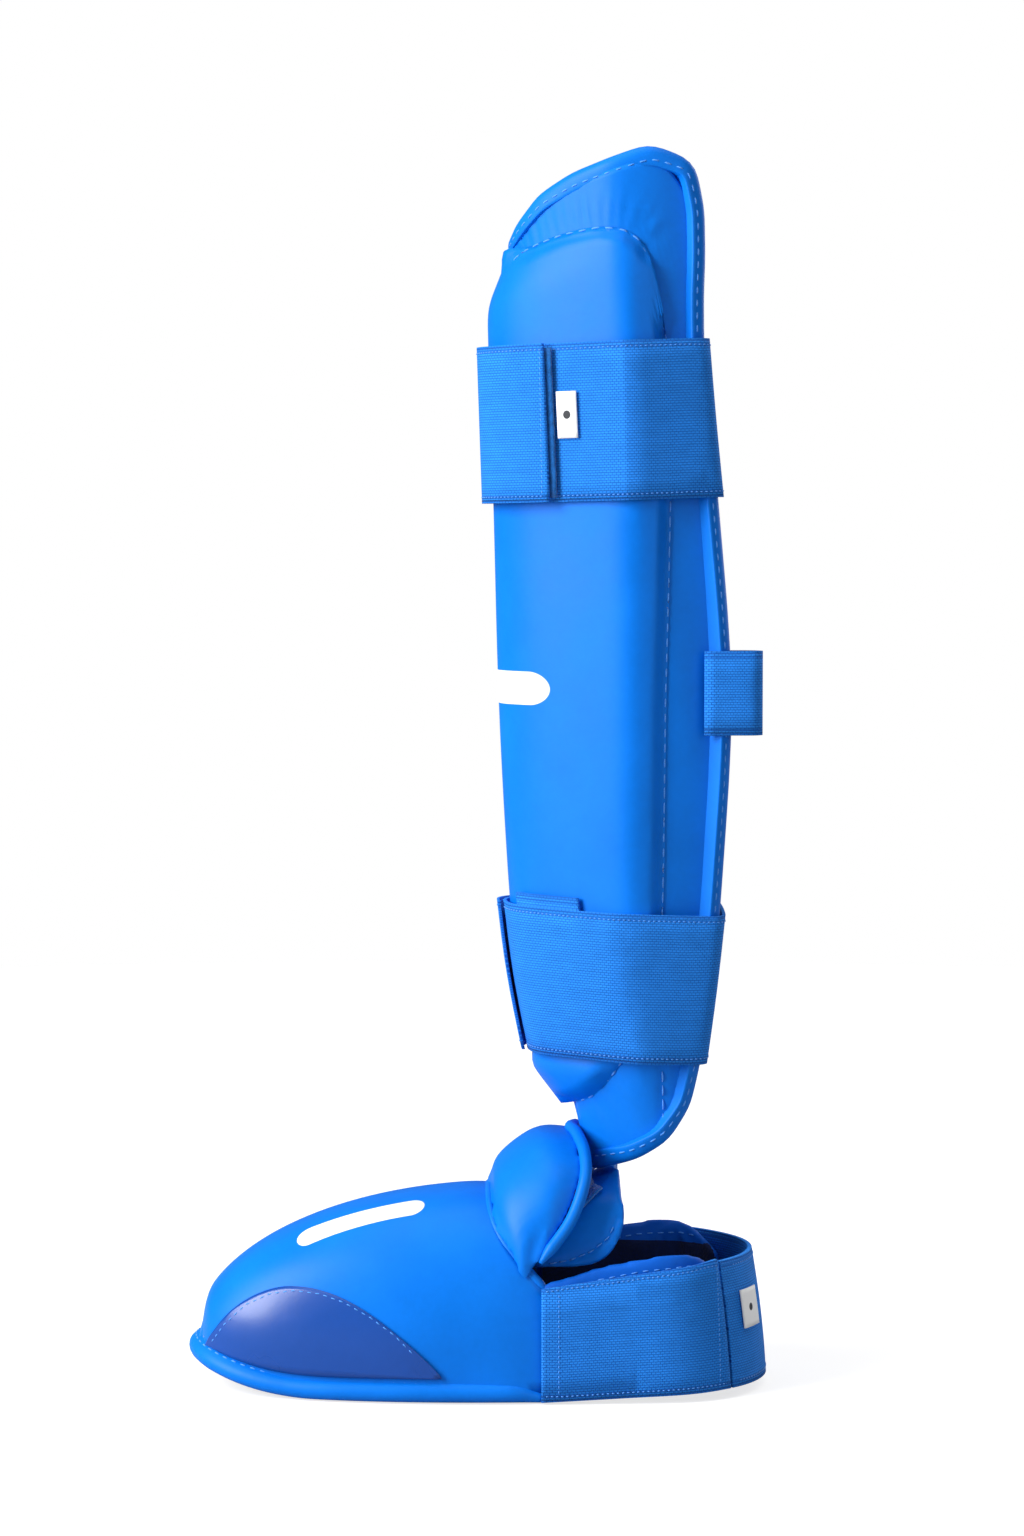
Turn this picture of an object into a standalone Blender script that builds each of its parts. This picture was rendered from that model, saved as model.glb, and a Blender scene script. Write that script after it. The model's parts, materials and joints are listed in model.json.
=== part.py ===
"""Karate shin and instep guard for the left leg, as separate sewn pieces.

The guard stands on its sole. X runs from the toes (-X) to the heel (+X), the lateral side of the
leg is -Y and +Z is up. Sizes are in millimetres here and are turned into metres when a mesh is made.
"""

import math

import bpy
import numpy as np

MM = 0.001

# Shin panel, as stations up the leg: height, nose of the panel, rear edge, half width, shoulder depth
SHIN_STATIONS = [
    (60, 40.0, 68.0, 22.5, 19.0),
    (72, 37.3, 70.0, 24.0, 20.0),
    (97, 32.1, 73.5, 27.0, 23.0),
    (113, 26.5, 75.5, 30.0, 27.0),
    (148, 19.6, 80.0, 33.0, 31.0),
    (182, 16.8, 82.5, 35.0, 33.0),
    (233, 14.1, 84.8, 36.5, 35.5),
    (301, 12.4, 80.2, 37.0, 37.0),
    (355, 10.6, 75.2, 38.0, 36.5),
    (390, 10.0, 75.2, 38.0, 36.0),
    (425, 10.0, 75.2, 37.0, 36.0),
]
# Rim of the panel seen from the side, from the bottom of its nose round the rear edge to the top of its nose
SHIN_RIM = [
    (37.3, 71.8), (39.0, 72.6), (41.5, 74.0), (47.5, 76.2), (54.0, 79.0), (60.0, 81.8), (65.0, 85.4),
    (69.0, 90.0), (71.6, 95.0), (73.6, 101.0), (75.3, 111.0), (80.0, 148.0), (82.5, 182.0), (84.8, 233.0),
    (80.2, 301.0), (75.2, 355.0), (75.2, 398.0), (74.4, 405.5), (71.6, 412.6), (66.6, 417.0), (60.0, 418.6),
    (53.0, 417.4), (40.0, 413.0), (27.0, 408.0), (20.0, 403.6), (13.9, 397.0), (10.8, 391.0), (10.0, 388.8),
]
SHIN_CORNERS = (111.0, 398.0)
PANEL_LEVELS = (0.0, 0.04, 0.08, 0.12, 0.18, 0.25, 0.36, 0.5, 0.65, 0.8, 0.9, 0.96, 1.0)
SIDE_TUCK = 0.10
SHELL = 3.6
LINING = 1.2
LAYER_GAP = 0.35

# Raised pad on the front of the shin
PAD_RIM = [
    (32.2, 96.0), (34.0, 96.6), (38.0, 98.6), (42.0, 102.6), (46.7, 110.0), (52.0, 119.5), (56.5, 129.0),
    (59.6, 140.0), (61.2, 153.0), (61.8, 168.0), (62.2, 200.0), (62.5, 235.0), (63.4, 270.0), (64.0, 301.0),
    (63.6, 330.0), (62.8, 350.0), (61.6, 366.0), (59.2, 377.5), (54.5, 386.0), (48.0, 390.0), (40.0, 391.0),
    (28.0, 389.0), (18.0, 385.5), (12.0, 381.5), (10.1, 379.6),
]
PAD_CORNERS = (158.0, 335.0)
PAD_NOSE = 8.0
PAD_RIDGE = 4.4
PAD_BEVEL = 14.0
PAD_SEAT = 0.6
COVER = 1.25

BINDING_RADIUS = 3.3

# Elastic straps: bottom height at the back, width, and how far the front hangs below the back
UPPER_STRAP = (302.0, 52.5, 2.5)
LOWER_STRAP = (112.0, 50.5, -3.0)
STRAP = 1.2
STRAP_SEAT = 0.8
TAB_LIFT = 4.1
PATCH = 0.5

# Foot guard
FOOT_BACK = 3.7
FOOT_LENGTH = 100.7
FOOT_HALF_WIDTH = 43.4
FOOT_TOP = 67.3
FOOT_TOE_TOP = 18.0
FOOT_SKIN = 1.3
FOOT_FOAM = 3.9
FOOT_LINING = 1.2
TOE_SPRING = 9.2
PATCH_SEAT = 1.0

# Ankle and heel
ANKLE_AXIS = (37.7, 0.0, 47.6)
FLAP_AXIS = (4.0, 0.0, 66.0)
SHIN_AXIS = (45.0, 0.0, 80.0)
HEEL_TAB_AXIS = (85.4, -33.2, 25.0)
UPPER_TAB_AXIS = (0.9, 4.6, 327.0)
LOWER_TAB_AXIS = (10.6, -4.6, 137.0)
WING = 5.4
WING_SEAT = 3.4
HEEL_BACK = 98.6

BLUE = (0.010, 0.165, 0.720)
DEEP_BLUE = (0.008, 0.080, 0.430)
ELASTIC_BLUE = (0.018, 0.130, 0.560)
NAVY = (0.004, 0.016, 0.080)
FOAM_GREY = (0.300, 0.310, 0.330)
WHITE = (0.850, 0.860, 0.870)

SECTIONS = {}


def clear_scene():
    for obj in list(bpy.data.objects):
        bpy.data.objects.remove(obj, do_unlink=True)


def make_material(name, color, roughness):
    mat = bpy.data.materials.new(name)
    mat.use_nodes = True
    shader = mat.node_tree.nodes["Principled BSDF"]
    shader.inputs["Base Color"].default_value = (*color, 1.0)
    shader.inputs["Roughness"].default_value = roughness
    shader.inputs["Metallic"].default_value = 0.0
    mat.diffuse_color = (*color, 1.0)
    return mat


def make_empty(name, location, parent=None):
    empty = bpy.data.objects.new(name, None)
    empty.empty_display_size = 0.02
    bpy.context.scene.collection.objects.link(empty)
    place(empty, location, parent)
    return empty


def place(obj, location, parent):
    """Puts an object at a world point in millimetres, under its parent."""
    base = np.array(parent["world_mm"]) if parent else np.zeros(3)
    obj.parent = parent
    obj.location = tuple((np.array(location) - base) * MM)
    obj["world_mm"] = [float(value) for value in location]


def add_solid(name, points, faces, color, roughness, parent=None, origin=(0, 0, 0)):
    """Makes one closed solid from points in world millimetres, faces outward."""
    points = np.array(points, float)
    faces = [tuple(face) for face in faces]
    triangles = points[np.array(faces)]
    if np.linalg.det(triangles).sum() < 0:
        faces = [face[::-1] for face in faces]
    mesh = bpy.data.meshes.new(name)
    mesh.from_pydata(((points - np.array(origin)) * MM).tolist(), [], faces)
    mesh.materials.append(make_material(name + "_material", color, roughness))
    mesh.shade_smooth()
    mesh.set_sharp_from_angle(angle=math.radians(40))
    mesh.update()
    obj = bpy.data.objects.new(name, mesh)
    bpy.context.scene.collection.objects.link(obj)
    place(obj, origin, parent)
    return obj


def split_quad(a, b, c, d):
    return [(a, b, c), (a, c, d)]


def sheet_solid(name, outer, inner, color, roughness, parent=None, origin=(0, 0, 0), ring=False):
    """Closes two matching grids of points into one solid. With ring, the columns run right round."""
    outer = np.asarray(outer, float)
    inner = np.asarray(inner, float)
    rows, cols = outer.shape[:2]
    points = np.concatenate([outer.reshape(-1, 3), inner.reshape(-1, 3)])
    back = rows * cols
    faces = []
    spans = cols if ring else cols - 1
    for r in range(rows - 1):
        for c in range(spans):
            d = (c + 1) % cols
            a, b, e, f = r * cols + c, r * cols + d, (r + 1) * cols + d, (r + 1) * cols + c
            faces += split_quad(a, b, e, f)
            faces += [(back + k, back + j, back + i) for i, j, k in split_quad(a, b, e, f)]
    for c in range(spans):
        d = (c + 1) % cols
        last = (rows - 1) * cols
        faces += split_quad(d, c, back + c, back + d)
        faces += split_quad(last + c, last + d, back + last + d, back + last + c)
    if not ring:
        for r in range(rows - 1):
            a, b = r * cols, (r + 1) * cols
            faces += split_quad(a, b, back + b, back + a)
            a, b = a + cols - 1, b + cols - 1
            faces += split_quad(b, a, back + a, back + b)
    return add_solid(name, points, faces, color, roughness, parent, origin)


def tube_solid(name, path, normals, radius, sides, closed, color, roughness, parent=None, origin=(0, 0, 0)):
    """A round cord of piping swept along a path."""
    path = np.asarray(path, float)
    normals = np.asarray(normals, float)
    if closed:
        tangent = np.roll(path, -1, axis=0) - np.roll(path, 1, axis=0)
    else:
        tangent = np.gradient(path, axis=0)
    tangent = unit(tangent)
    side = unit(np.cross(tangent, normals))
    up = np.cross(side, tangent)
    count = len(path)
    angles = np.arange(sides) * 2 * math.pi / sides
    rings = path[:, None] + radius * (
        np.cos(angles)[None, :, None] * up[:, None] + np.sin(angles)[None, :, None] * side[:, None]
    )
    points = rings.reshape(-1, 3)
    faces = []
    for r in range(count if closed else count - 1):
        q = (r + 1) % count
        for k in range(sides):
            m = (k + 1) % sides
            faces += split_quad(r * sides + k, q * sides + k, q * sides + m, r * sides + m)
    if not closed:
        last = (count - 1) * sides
        for k in range(1, sides - 1):
            faces.append((0, k, k + 1))
            faces.append((last, last + k + 1, last + k))
    return add_solid(name, points, faces, color, roughness, parent, origin)


def unit(vectors):
    return vectors / np.maximum(np.linalg.norm(vectors, axis=-1, keepdims=True), 1e-12)


def smooth(value):
    value = np.clip(value, 0.0, 1.0)
    return value * value * (3 - 2 * value)


def spline(stations, where):
    """Smooth interpolation through stations of (key, value, ...), one row for each place asked for."""
    table = np.array(stations, float)
    keys, values = table[:, 0], table[:, 1:]
    slopes = np.gradient(values, keys, axis=0)
    where = np.clip(np.asarray(where, float), keys[0], keys[-1])
    left = np.clip(np.searchsorted(keys, where, side="right") - 1, 0, len(keys) - 2)
    span = (keys[left + 1] - keys[left])[..., None]
    t = (where - keys[left])[..., None] / span
    start, end = values[left], values[left + 1]
    lean_a, lean_b = slopes[left] * span, slopes[left + 1] * span
    return (
        (2 * t**3 - 3 * t**2 + 1) * start
        + (t**3 - 2 * t**2 + t) * lean_a
        + (3 * t**2 - 2 * t**3) * end
        + (t**3 - t**2) * lean_b
    )


def bezier(p0, p1, p2, p3, t):
    return (1 - t) ** 3 * p0 + 3 * (1 - t) ** 2 * t * p1 + 3 * (1 - t) * t**2 * p2 + t**3 * p3


def grid_normals(grid, outward):
    """Unit normals of a grid of points, turned to the side of the given directions."""
    along = np.gradient(grid, axis=0)
    across = np.gradient(grid, axis=1)
    normal = unit(np.cross(along, across))
    sign = np.sign((normal * outward).sum(axis=-1, keepdims=True))
    return normal * np.where(sign == 0, 1, sign)


def stack(layers, outer, inner, parent=None, origin=(0, 0, 0)):
    """Splits the space between two grids into layers of (name, start, end, color, roughness).
    Starts and ends are millimetres from the outer grid. A negative one counts back from the inner grid."""
    depth = np.linalg.norm(inner - outer, axis=-1, keepdims=True)
    ray = (inner - outer) / depth
    for name, start, end, color, roughness in layers:
        a = np.where(start >= 0, start, depth + start)
        b = np.where(end > 0, end, depth + end)
        sheet_solid(name, outer + a * ray, outer + b * ray, color, roughness, parent, origin)


# ---------------------------------------------------------------- shin panel


def shin_section(height):
    """Half of the panel's outer face at one height, nose to rear edge, with the length along it."""
    key = round(float(height), 4)
    if key not in SECTIONS:
        nose, rear, width, shoulder = spline(SHIN_STATIONS, key)
        turn = np.linspace(0, 1, 49)
        run = np.linspace(0, 1, 25)[1:]
        front_x = bezier(0.0, 0.0, 0.21, 1.0, turn) * shoulder
        front_y = bezier(0.0, 0.356, 0.575, 1.0, turn) * width
        front = np.stack([front_x, front_y])
        side = np.stack([shoulder + (rear - nose - shoulder) * run, width * (1 - SIDE_TUCK * run**2)])
        line = np.concatenate([front.T, side.T]) + np.array([nose, 0.0])
        SECTIONS[key] = (line, lengths(line))
    return SECTIONS[key]


def lengths(line):
    return np.concatenate([[0], np.cumsum(np.linalg.norm(np.diff(line, axis=0), axis=1))])


def shin_point(girth, height):
    """Outer face of the shin panel. Girth runs round it from the nose, negative to the lateral side."""
    girth, height = np.broadcast_arrays(np.asarray(girth, float), np.asarray(height, float))
    found = []
    for reach, z in zip(girth.ravel(), height.ravel()):
        line, length = shin_section(z)
        x = np.interp(abs(reach), length, line[:, 0])
        y = np.interp(abs(reach), length, line[:, 1])
        found.append((x, y if reach > 0 else -y, z))
    return np.array(found).reshape(girth.shape + (3,))


def shin_normal(girth, height):
    across = shin_point(girth + 0.8, height) - shin_point(girth - 0.8, height)
    along = shin_point(girth, height + 1.0) - shin_point(girth, height - 1.0)
    return unit(np.cross(along, across))


def rim_line(rim):
    """A rim given from the side, as (girth, height), smoothed and evenly spaced."""
    found = []
    for x, z in rim:
        line, length = shin_section(z)
        found.append((np.interp(x, line[:, 0], length), z))
    found = np.array(found)
    found[0, 0] = found[-1, 0] = 0.0
    where = lengths(found)
    return spline(np.column_stack([where, found]), np.linspace(0, where[-1], 260))


def inset_line(line, amount):
    """Moves a rim line inward by an amount."""
    tangent = unit(np.gradient(line, axis=0))
    moved = line + np.stack([-tangent[:, 1], tangent[:, 0]], axis=-1) * amount
    moved[:, 0] = np.maximum(moved[:, 0], 0.0)
    moved[0, 0] = moved[-1, 0] = 0.0
    return moved


def split_rim(line, corners):
    """Bottom, side and top runs of a rim line, split where it first passes each corner's height."""
    first = int(np.argmax(line[:, 1] >= corners[0]))
    last = int(np.argmax(line[:, 1] >= corners[1]))
    return line[: first + 1], line[first : last + 1], line[last:]


def side_reach(line, corners, height):
    """Girth of a rim's side at a height, held constant past its corners."""
    side = split_rim(line, corners)[1]
    return np.interp(height, side[:, 1], side[:, 0])


def region_grid(line, corners, columns, levels):
    """Girths and heights of a grid that fills a rim line. Columns run from the nose and are mirrored."""
    columns = np.array(columns, float)
    levels = np.array(levels, float)
    low, side, high = split_rim(line, corners)
    bottom = np.interp(columns, low[:, 0] / side[0, 0], low[:, 1])
    top = np.interp(columns, high[::-1, 0] / side[-1, 0], high[::-1, 1])
    heights = bottom[None] + (top - bottom)[None] * levels[:, None]
    girths = columns[None] * side_reach(line, corners, heights)
    return (
        np.concatenate([-girths[:, :0:-1], girths], axis=1),
        np.concatenate([heights[:, :0:-1], heights], axis=1),
    )


def panel_grid(amount, depth):
    """Grid over the shin panel, inset from its rim, at a depth under its outer face."""
    line = inset_line(rim_line(SHIN_RIM), amount)
    girths, heights = region_grid(line, SHIN_CORNERS, np.linspace(0, 1, 11), PANEL_LEVELS)
    return shin_point(girths, heights) - shin_normal(girths, heights) * depth


def rim_loop(amount, depth, count):
    """Closed loop round the shin panel at an inset from its rim, with its outward normals."""
    half = inset_line(rim_line(SHIN_RIM), amount)
    loop = np.concatenate([half, half[-2::-1] * np.array([-1, 1])])
    length = lengths(loop)
    where = np.linspace(0, length[-1], count, endpoint=False)
    girths = np.interp(where, length, loop[:, 0])
    heights = np.interp(where, length, loop[:, 1])
    normals = shin_normal(girths, heights)
    return shin_point(girths, heights) - normals * depth, normals


# ---------------------------------------------------------------- raised pad


def pad_ridge(height):
    return side_reach(rim_line(PAD_RIM), PAD_CORNERS, height) - PAD_BEVEL


def pad_profile(girth, height):
    """Outer face of the raised pad before its bevels, over the panel point at a girth."""
    girth, height = np.broadcast_arrays(np.asarray(girth, float), np.asarray(height, float))
    border = rim_line(PAD_RIM)
    found = []
    for reach, z in zip(girth.ravel(), height.ravel()):
        ridge_at = float(side_reach(border, PAD_CORNERS, z)) - PAD_BEVEL
        base, length = shin_section(z)
        x = np.interp(ridge_at, length, base[:, 0])
        y = np.interp(ridge_at, length, base[:, 1]) + PAD_RIDGE
        nose = base[0, 0]
        turn = np.linspace(0, 1, 33)
        front_x = nose + bezier(-PAD_NOSE, -PAD_NOSE, 0.05 * (x - nose), x - nose, turn)
        front_y = bezier(0.0, 0.36 * y, 0.56 * y, y, turn)
        front = np.stack([front_x, front_y], axis=-1)
        run = lengths(front)
        if abs(reach) <= ridge_at:
            where = abs(reach) / ridge_at * run[-1]
            at_x, at_y = np.interp(where, run, front_x), np.interp(where, run, front_y)
        else:
            at_x = np.interp(abs(reach), length, base[:, 0])
            at_y = np.interp(abs(reach), length, base[:, 1]) + PAD_RIDGE
        found.append((at_x, at_y if reach > 0 else -at_y, z))
    return np.array(found).reshape(girth.shape + (3,))


def pad_height(girth, height):
    """Base point, outward ray and height of the pad's outer face over the panel."""
    base = shin_point(girth, height)
    ray = pad_profile(girth, height) - base
    full = np.linalg.norm(ray, axis=-1, keepdims=True)
    flat = np.stack([np.abs(girth), height], axis=-1)
    gap = np.linalg.norm(flat[..., None, :] - rim_line(PAD_RIM), axis=-1).min(axis=-1)[..., None]
    lowest = PAD_SEAT + COVER
    return base, ray / full, lowest + np.clip(gap / PAD_BEVEL, 0, 1) * (full - lowest)


def pad_grid(amount, columns, levels, under, least=0.0):
    """Two faces of a layer of the pad: the outer face less a depth, and the seat on the panel.
    The outer one stays at least so far over the seat."""
    line = inset_line(rim_line(PAD_RIM), amount) if amount else rim_line(PAD_RIM)
    girths, heights = region_grid(line, PAD_CORNERS, columns, levels)
    base, ray, over = pad_height(girths, heights)
    return base + ray * np.maximum(over - under, PAD_SEAT + least), base + ray * PAD_SEAT


# ---------------------------------------------------------------- straps


def strap_height(x, height, hang):
    return height - hang * (1 - (x - 5) / 75)


def strap_line(height, hang, steps):
    """Half of the taut line round the shin, from the nose to the middle of the back, with its flat normals."""
    share = np.linspace(0, 1, steps)
    girth = share * pad_ridge(height)
    level = strap_height(shin_point(girth, height)[:, 0], height, hang)
    girth = share * pad_ridge(level)
    base, ray, over = pad_height(girth, level)
    front = base + ray * over
    tangent = unit(np.gradient(front[:, :2], axis=0))
    tangent[0] = (0, 1)
    front_normal = np.stack([-tangent[:, 1], tangent[:, 0]], axis=-1)
    edge, length = shin_section(height)
    roll_z = float(strap_height(edge[-1, 0], height, hang))
    edge, length = shin_section(roll_z)
    roll_girth = length[-1] - BINDING_RADIUS
    half_panel = (SHELL + LAYER_GAP + LINING) / 2
    roll_at = shin_point(roll_girth, roll_z) - shin_normal(roll_girth, roll_z) * half_panel
    fall = math.atan2(front[-1, 1] - roll_at[1] - BINDING_RADIUS, roll_at[0] - front[-1, 0])
    turn = np.linspace(math.pi / 2 - fall, 0.0, 5)
    roll_normal = np.stack([np.cos(turn), np.sin(turn)], axis=-1)
    roll_xy = roll_at[None, :2] + BINDING_RADIUS * roll_normal
    roll = np.concatenate([roll_xy, np.full((5, 1), roll_z)], axis=1)
    front_normal[-1] = unit(front_normal[-2] + roll_normal[0])
    middle = np.array([[roll[-1, 0] + 0.6, 0.0, roll_z]])
    line = np.concatenate([front, roll, middle])
    normal = np.concatenate([front_normal, roll_normal, [[1.0, 0.0]]])
    return line, np.concatenate([normal, np.zeros((len(normal), 1))], axis=1)


def strap_ring(name, strap, lifts, color, roughness, parent, origin):
    """Closed elastic ring. The lifts are its inner offsets on the lateral and medial sides, from the nose on."""
    bottom, width, hang = strap
    outer_rows, inner_rows = [], []
    for level in (0.0, 0.5, 1.0):
        line, normal = strap_line(bottom + width * level, hang, 11)
        mirror = np.array([1, -1, 1])
        near_lift, far_lift = (np.array(lift, float)[:, None] for lift in lifts)
        for rows, thick in ((inner_rows, 0.0), (outer_rows, STRAP)):
            near = (line + normal * (near_lift + thick)) * mirror
            far = line + normal * (far_lift + thick)
            rows.append(np.concatenate([near, far[-2:0:-1]]))
    return sheet_solid(name, outer_rows, inner_rows, color, roughness, parent, origin, ring=True)


def strap_piece(
    name, strap, side, start, end, inner, thick, margin, color, roughness, parent, origin, count=8
):
    """A piece lying on a strap, from one distance along it to another, measured from the nose."""
    bottom, width, hang = strap
    low, high = margin
    outer_rows, inner_rows = [], []
    for level in (0.0, 0.5, 1.0):
        line, normal = strap_line(bottom + low + (width - low - high) * level, hang, 41)
        line, normal = line[:41], normal[:41]
        mirror = np.array([1, -1, 1])
        line = np.concatenate([(line * mirror)[:0:-1], line])
        normal = np.concatenate([(normal * mirror)[:0:-1], normal])
        steps = np.linalg.norm(np.diff(line[:, :2], axis=0), axis=1)
        length = np.concatenate([[0], np.cumsum(steps)])
        length = length - length[40]
        where = np.linspace(start, end, count)
        at = np.stack([np.interp(where, length, line[:, k]) for k in (0, 1, 2)], axis=-1)
        facing = unit(np.stack([np.interp(where, length, normal[:, k]) for k in (0, 1, 2)], axis=-1))
        lift = np.interp(where, inner[0], inner[1])[:, None]
        flip = np.array([1, side, 1])
        inner_rows.append((at + facing * lift) * flip)
        outer_rows.append((at + facing * (lift + thick)) * flip)
    return sheet_solid(name, outer_rows, inner_rows, color, roughness, parent, origin)


# ---------------------------------------------------------------- foot


def super_sin(angle, power):
    value = np.sin(angle)
    return np.sign(value) * np.abs(value) ** (2 / power)


def super_cos(angle, power):
    return np.abs(np.cos(angle)) ** (2 / power)


def foot_half_width(x):
    t = np.clip((FOOT_BACK - x) / FOOT_LENGTH, 0, 1)
    front = FOOT_HALF_WIDTH * (1 - t**2.4) ** (1 / 2.4)
    return np.where(x < FOOT_BACK, front, FOOT_HALF_WIDTH - 0.02 * np.maximum(x - FOOT_BACK, 0))


def foot_ridge(x):
    t = np.clip((FOOT_BACK - x) / FOOT_LENGTH, 0, 1)
    return FOOT_TOE_TOP + (FOOT_TOP - FOOT_TOE_TOP) * (1 - t**1.9) ** (1 / 1.9)


def roll_height(x):
    spring = np.clip((-55 - np.asarray(x, float)) / 41.5, 0, 1.05)
    return BINDING_RADIUS + TOE_SPRING * spring**2


def foot_row(x_low, x_top, z_top, angles, opening=False):
    """One arch over the foot, from the lateral bottom edge over the ridge to the medial bottom edge."""
    rise = super_cos(angles, 2.75)
    lean = smooth((rise - 0.4) / 0.55) if opening else rise
    x = x_low + (x_top - x_low) * lean
    base = roll_height(x_low) + BINDING_RADIUS + LAYER_GAP
    y = foot_half_width(x_low) * super_sin(angles, 2.75)
    z = base + (z_top - base) * rise
    return np.stack([x, y, z], axis=-1)


def foot_grid(cols):
    angles = np.linspace(-math.pi / 2, math.pi / 2, cols + 1)
    rows = [foot_row(20.4, 3.6, 67.0, angles, opening=True)]
    arches = (
        (13, -1.5), (5, -8), (-14, -22), (-32, -38), (-48, -53),
        (-61, -66), (-72, -76.5), (-81, -85), (-88, -90.6), (-92, -93.8),
    )
    for x_low, x_top in arches:
        rows.append(foot_row(x_low, x_top, foot_ridge(x_top), angles))
    y = foot_half_width(-94.6) * np.sin(angles)
    x = -94.6 - 2.2 * np.cos(angles)
    rows.append(np.stack([x, y, roll_height(x) + BINDING_RADIUS + LAYER_GAP], axis=-1))
    return np.array(rows)


def foot_outline(count, start):
    """Bottom outline of the foot guard from the lateral side round the toe to the medial side."""
    toe_turn = np.linspace(0.15, 1, 10) * math.pi / 2
    x = np.concatenate([np.linspace(start, -60, 12), -60 - 37.0 * np.sin(toe_turn)])
    y = -foot_half_width(x)
    half = np.stack([x, y], axis=-1)
    half[-1] = (-97.0, 0.0)
    line = np.concatenate([half, (half * np.array([1, -1]))[-2::-1]])
    length = np.concatenate([[0], np.cumsum(np.linalg.norm(np.diff(line, axis=0), axis=1))])
    where = np.linspace(0, length[-1], count)
    line = np.stack([np.interp(where, length, line[:, k]) for k in (0, 1)], axis=-1)
    tangent = unit(np.gradient(line, axis=0))
    inward = np.stack([-tangent[:, 1], tangent[:, 0]], axis=-1)
    inward = inward * np.sign((inward * (np.array([0.0, 0.0]) - line)).sum(axis=-1, keepdims=True))
    inset = 2.7 - 2.1 * smooth((-60 - line[:, :1]) / 37.0)
    return line + inward * inset


# ---------------------------------------------------------------- build


def build_shin(parent):
    origin = SHIN_AXIS
    full = SHELL + LAYER_GAP + LINING
    inset = 2 * BINDING_RADIUS + 1.4
    outer, under = panel_grid(inset, 0.0), panel_grid(inset, SHELL)
    sheet_solid("shin_backing", outer, under, BLUE, 0.45, parent, origin)
    outer, under = panel_grid(inset, SHELL + LAYER_GAP), panel_grid(inset, full)
    sheet_solid("shin_lining", outer, under, NAVY, 0.85, parent, origin)
    path, normals = rim_loop(BINDING_RADIUS, full / 2, 64)
    tube_solid("shin_edge_binding", path, normals, BINDING_RADIUS, 6, True, BLUE, 0.5, parent, origin)

    columns = (0, 0.11, 0.22, 0.33, 0.44, 0.54, 0.63, 0.7, 0.76, 0.82, 0.88, 0.94, 1.0)
    levels = (
        0, 0.025, 0.05, 0.08, 0.115, 0.16, 0.22, 0.3, 0.42,
        0.54, 0.66, 0.76, 0.83, 0.885, 0.92, 0.95, 0.975, 1.0,
    )
    outer, seat = pad_grid(0.0, columns, levels, 0.0)
    under, _ = pad_grid(0.0, columns, levels, COVER)
    sheet_solid("shin_pad_cover", outer, under, BLUE, 0.42, parent, origin)
    columns = (0, 0.16, 0.32, 0.48, 0.64, 0.77, 0.88, 1.0)
    levels = (0, 0.03, 0.1, 0.16, 0.23, 0.36, 0.52, 0.68, 0.82, 0.97, 1.0)
    core, seat = pad_grid(9.5, columns, levels, COVER + 1.2, 0.85)
    seat = seat + unit(core - seat) * 0.35
    sheet_solid("shin_pad_foam_core", core, seat, FOAM_GREY, 0.9, parent, origin)


def build_straps(shin, upper_tab, lower_tab):
    plain = [STRAP_SEAT] * 9 + [1.2, 1.4, 1.2] + [STRAP_SEAT] * 5
    over_anchor = [STRAP_SEAT] * 2 + [2.2, 2.7, 2.7, 2.7, 2.7, 2.7, 2.4, 2.0, 1.6, 1.2] + [STRAP_SEAT] * 5
    strap_ring("upper_strap_band", UPPER_STRAP, (plain, plain), ELASTIC_BLUE, 0.8, shin, SHIN_AXIS)
    fuller = [STRAP_SEAT] * 2 + [1.1, 1.4, 1.4, 1.4, 1.2, 1.0, 0.9, 1.2, 1.4, 1.2] + [STRAP_SEAT] * 5
    strap_ring("lower_strap_band", LOWER_STRAP, (over_anchor, fuller), ELASTIC_BLUE, 0.8, shin, SHIN_AXIS)
    trim = (1.5, 1.5)
    seat = STRAP_SEAT + STRAP + LAYER_GAP
    strap_piece("lower_strap_anchor", LOWER_STRAP, -1, 14.0, 40.0, ((0, 1), (0.9, 0.9)), 1.0, (2.0, -4.0),
                ELASTIC_BLUE, 0.8, shin, SHIN_AXIS)
    strap_piece("upper_loop_patch", UPPER_STRAP, -1, 12.0, 35.0, ((0, 1), (seat, seat)), PATCH, trim,
                BLUE, 0.95, shin, SHIN_AXIS, 6)
    strap_piece("lower_loop_patch", LOWER_STRAP, 1, 12.0, 35.0, ((0, 1), (seat + 0.6, seat + 0.6)), PATCH, trim,
                BLUE, 0.95, shin, SHIN_AXIS, 6)
    hook = seat + PATCH + LAYER_GAP
    rise = ((-4, 2, 10, 40), (seat, seat, TAB_LIFT, TAB_LIFT))
    for name, strap, side, tab, axis, extra in (
        ("upper", UPPER_STRAP, -1, upper_tab, UPPER_TAB_AXIS, 0.0),
        ("lower", LOWER_STRAP, 1, lower_tab, LOWER_TAB_AXIS, 0.6),
    ):
        strap_piece(name + "_hook_patch", strap, side, 12.0, 39.6, ((0, 1), (hook + extra, hook + extra)), PATCH,
                    trim, ELASTIC_BLUE, 0.95, tab, axis, 7)
        lift = (rise[0], tuple(value + extra for value in rise[1]))
        strap_piece(name + "_strap_tab", strap, side, -4.0, 37.4, lift, 1.0, (0.0, 0.0),
                    ELASTIC_BLUE, 0.8, tab, axis, 10)
    strap_piece("upper_size_label", UPPER_STRAP, -1, 40.6, 48.0, ((0, 1), (seat + 0.3, seat + 0.3)), 0.4,
                (21.0, 16.0), WHITE, 0.6, upper_tab, UPPER_TAB_AXIS, 3)


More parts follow.
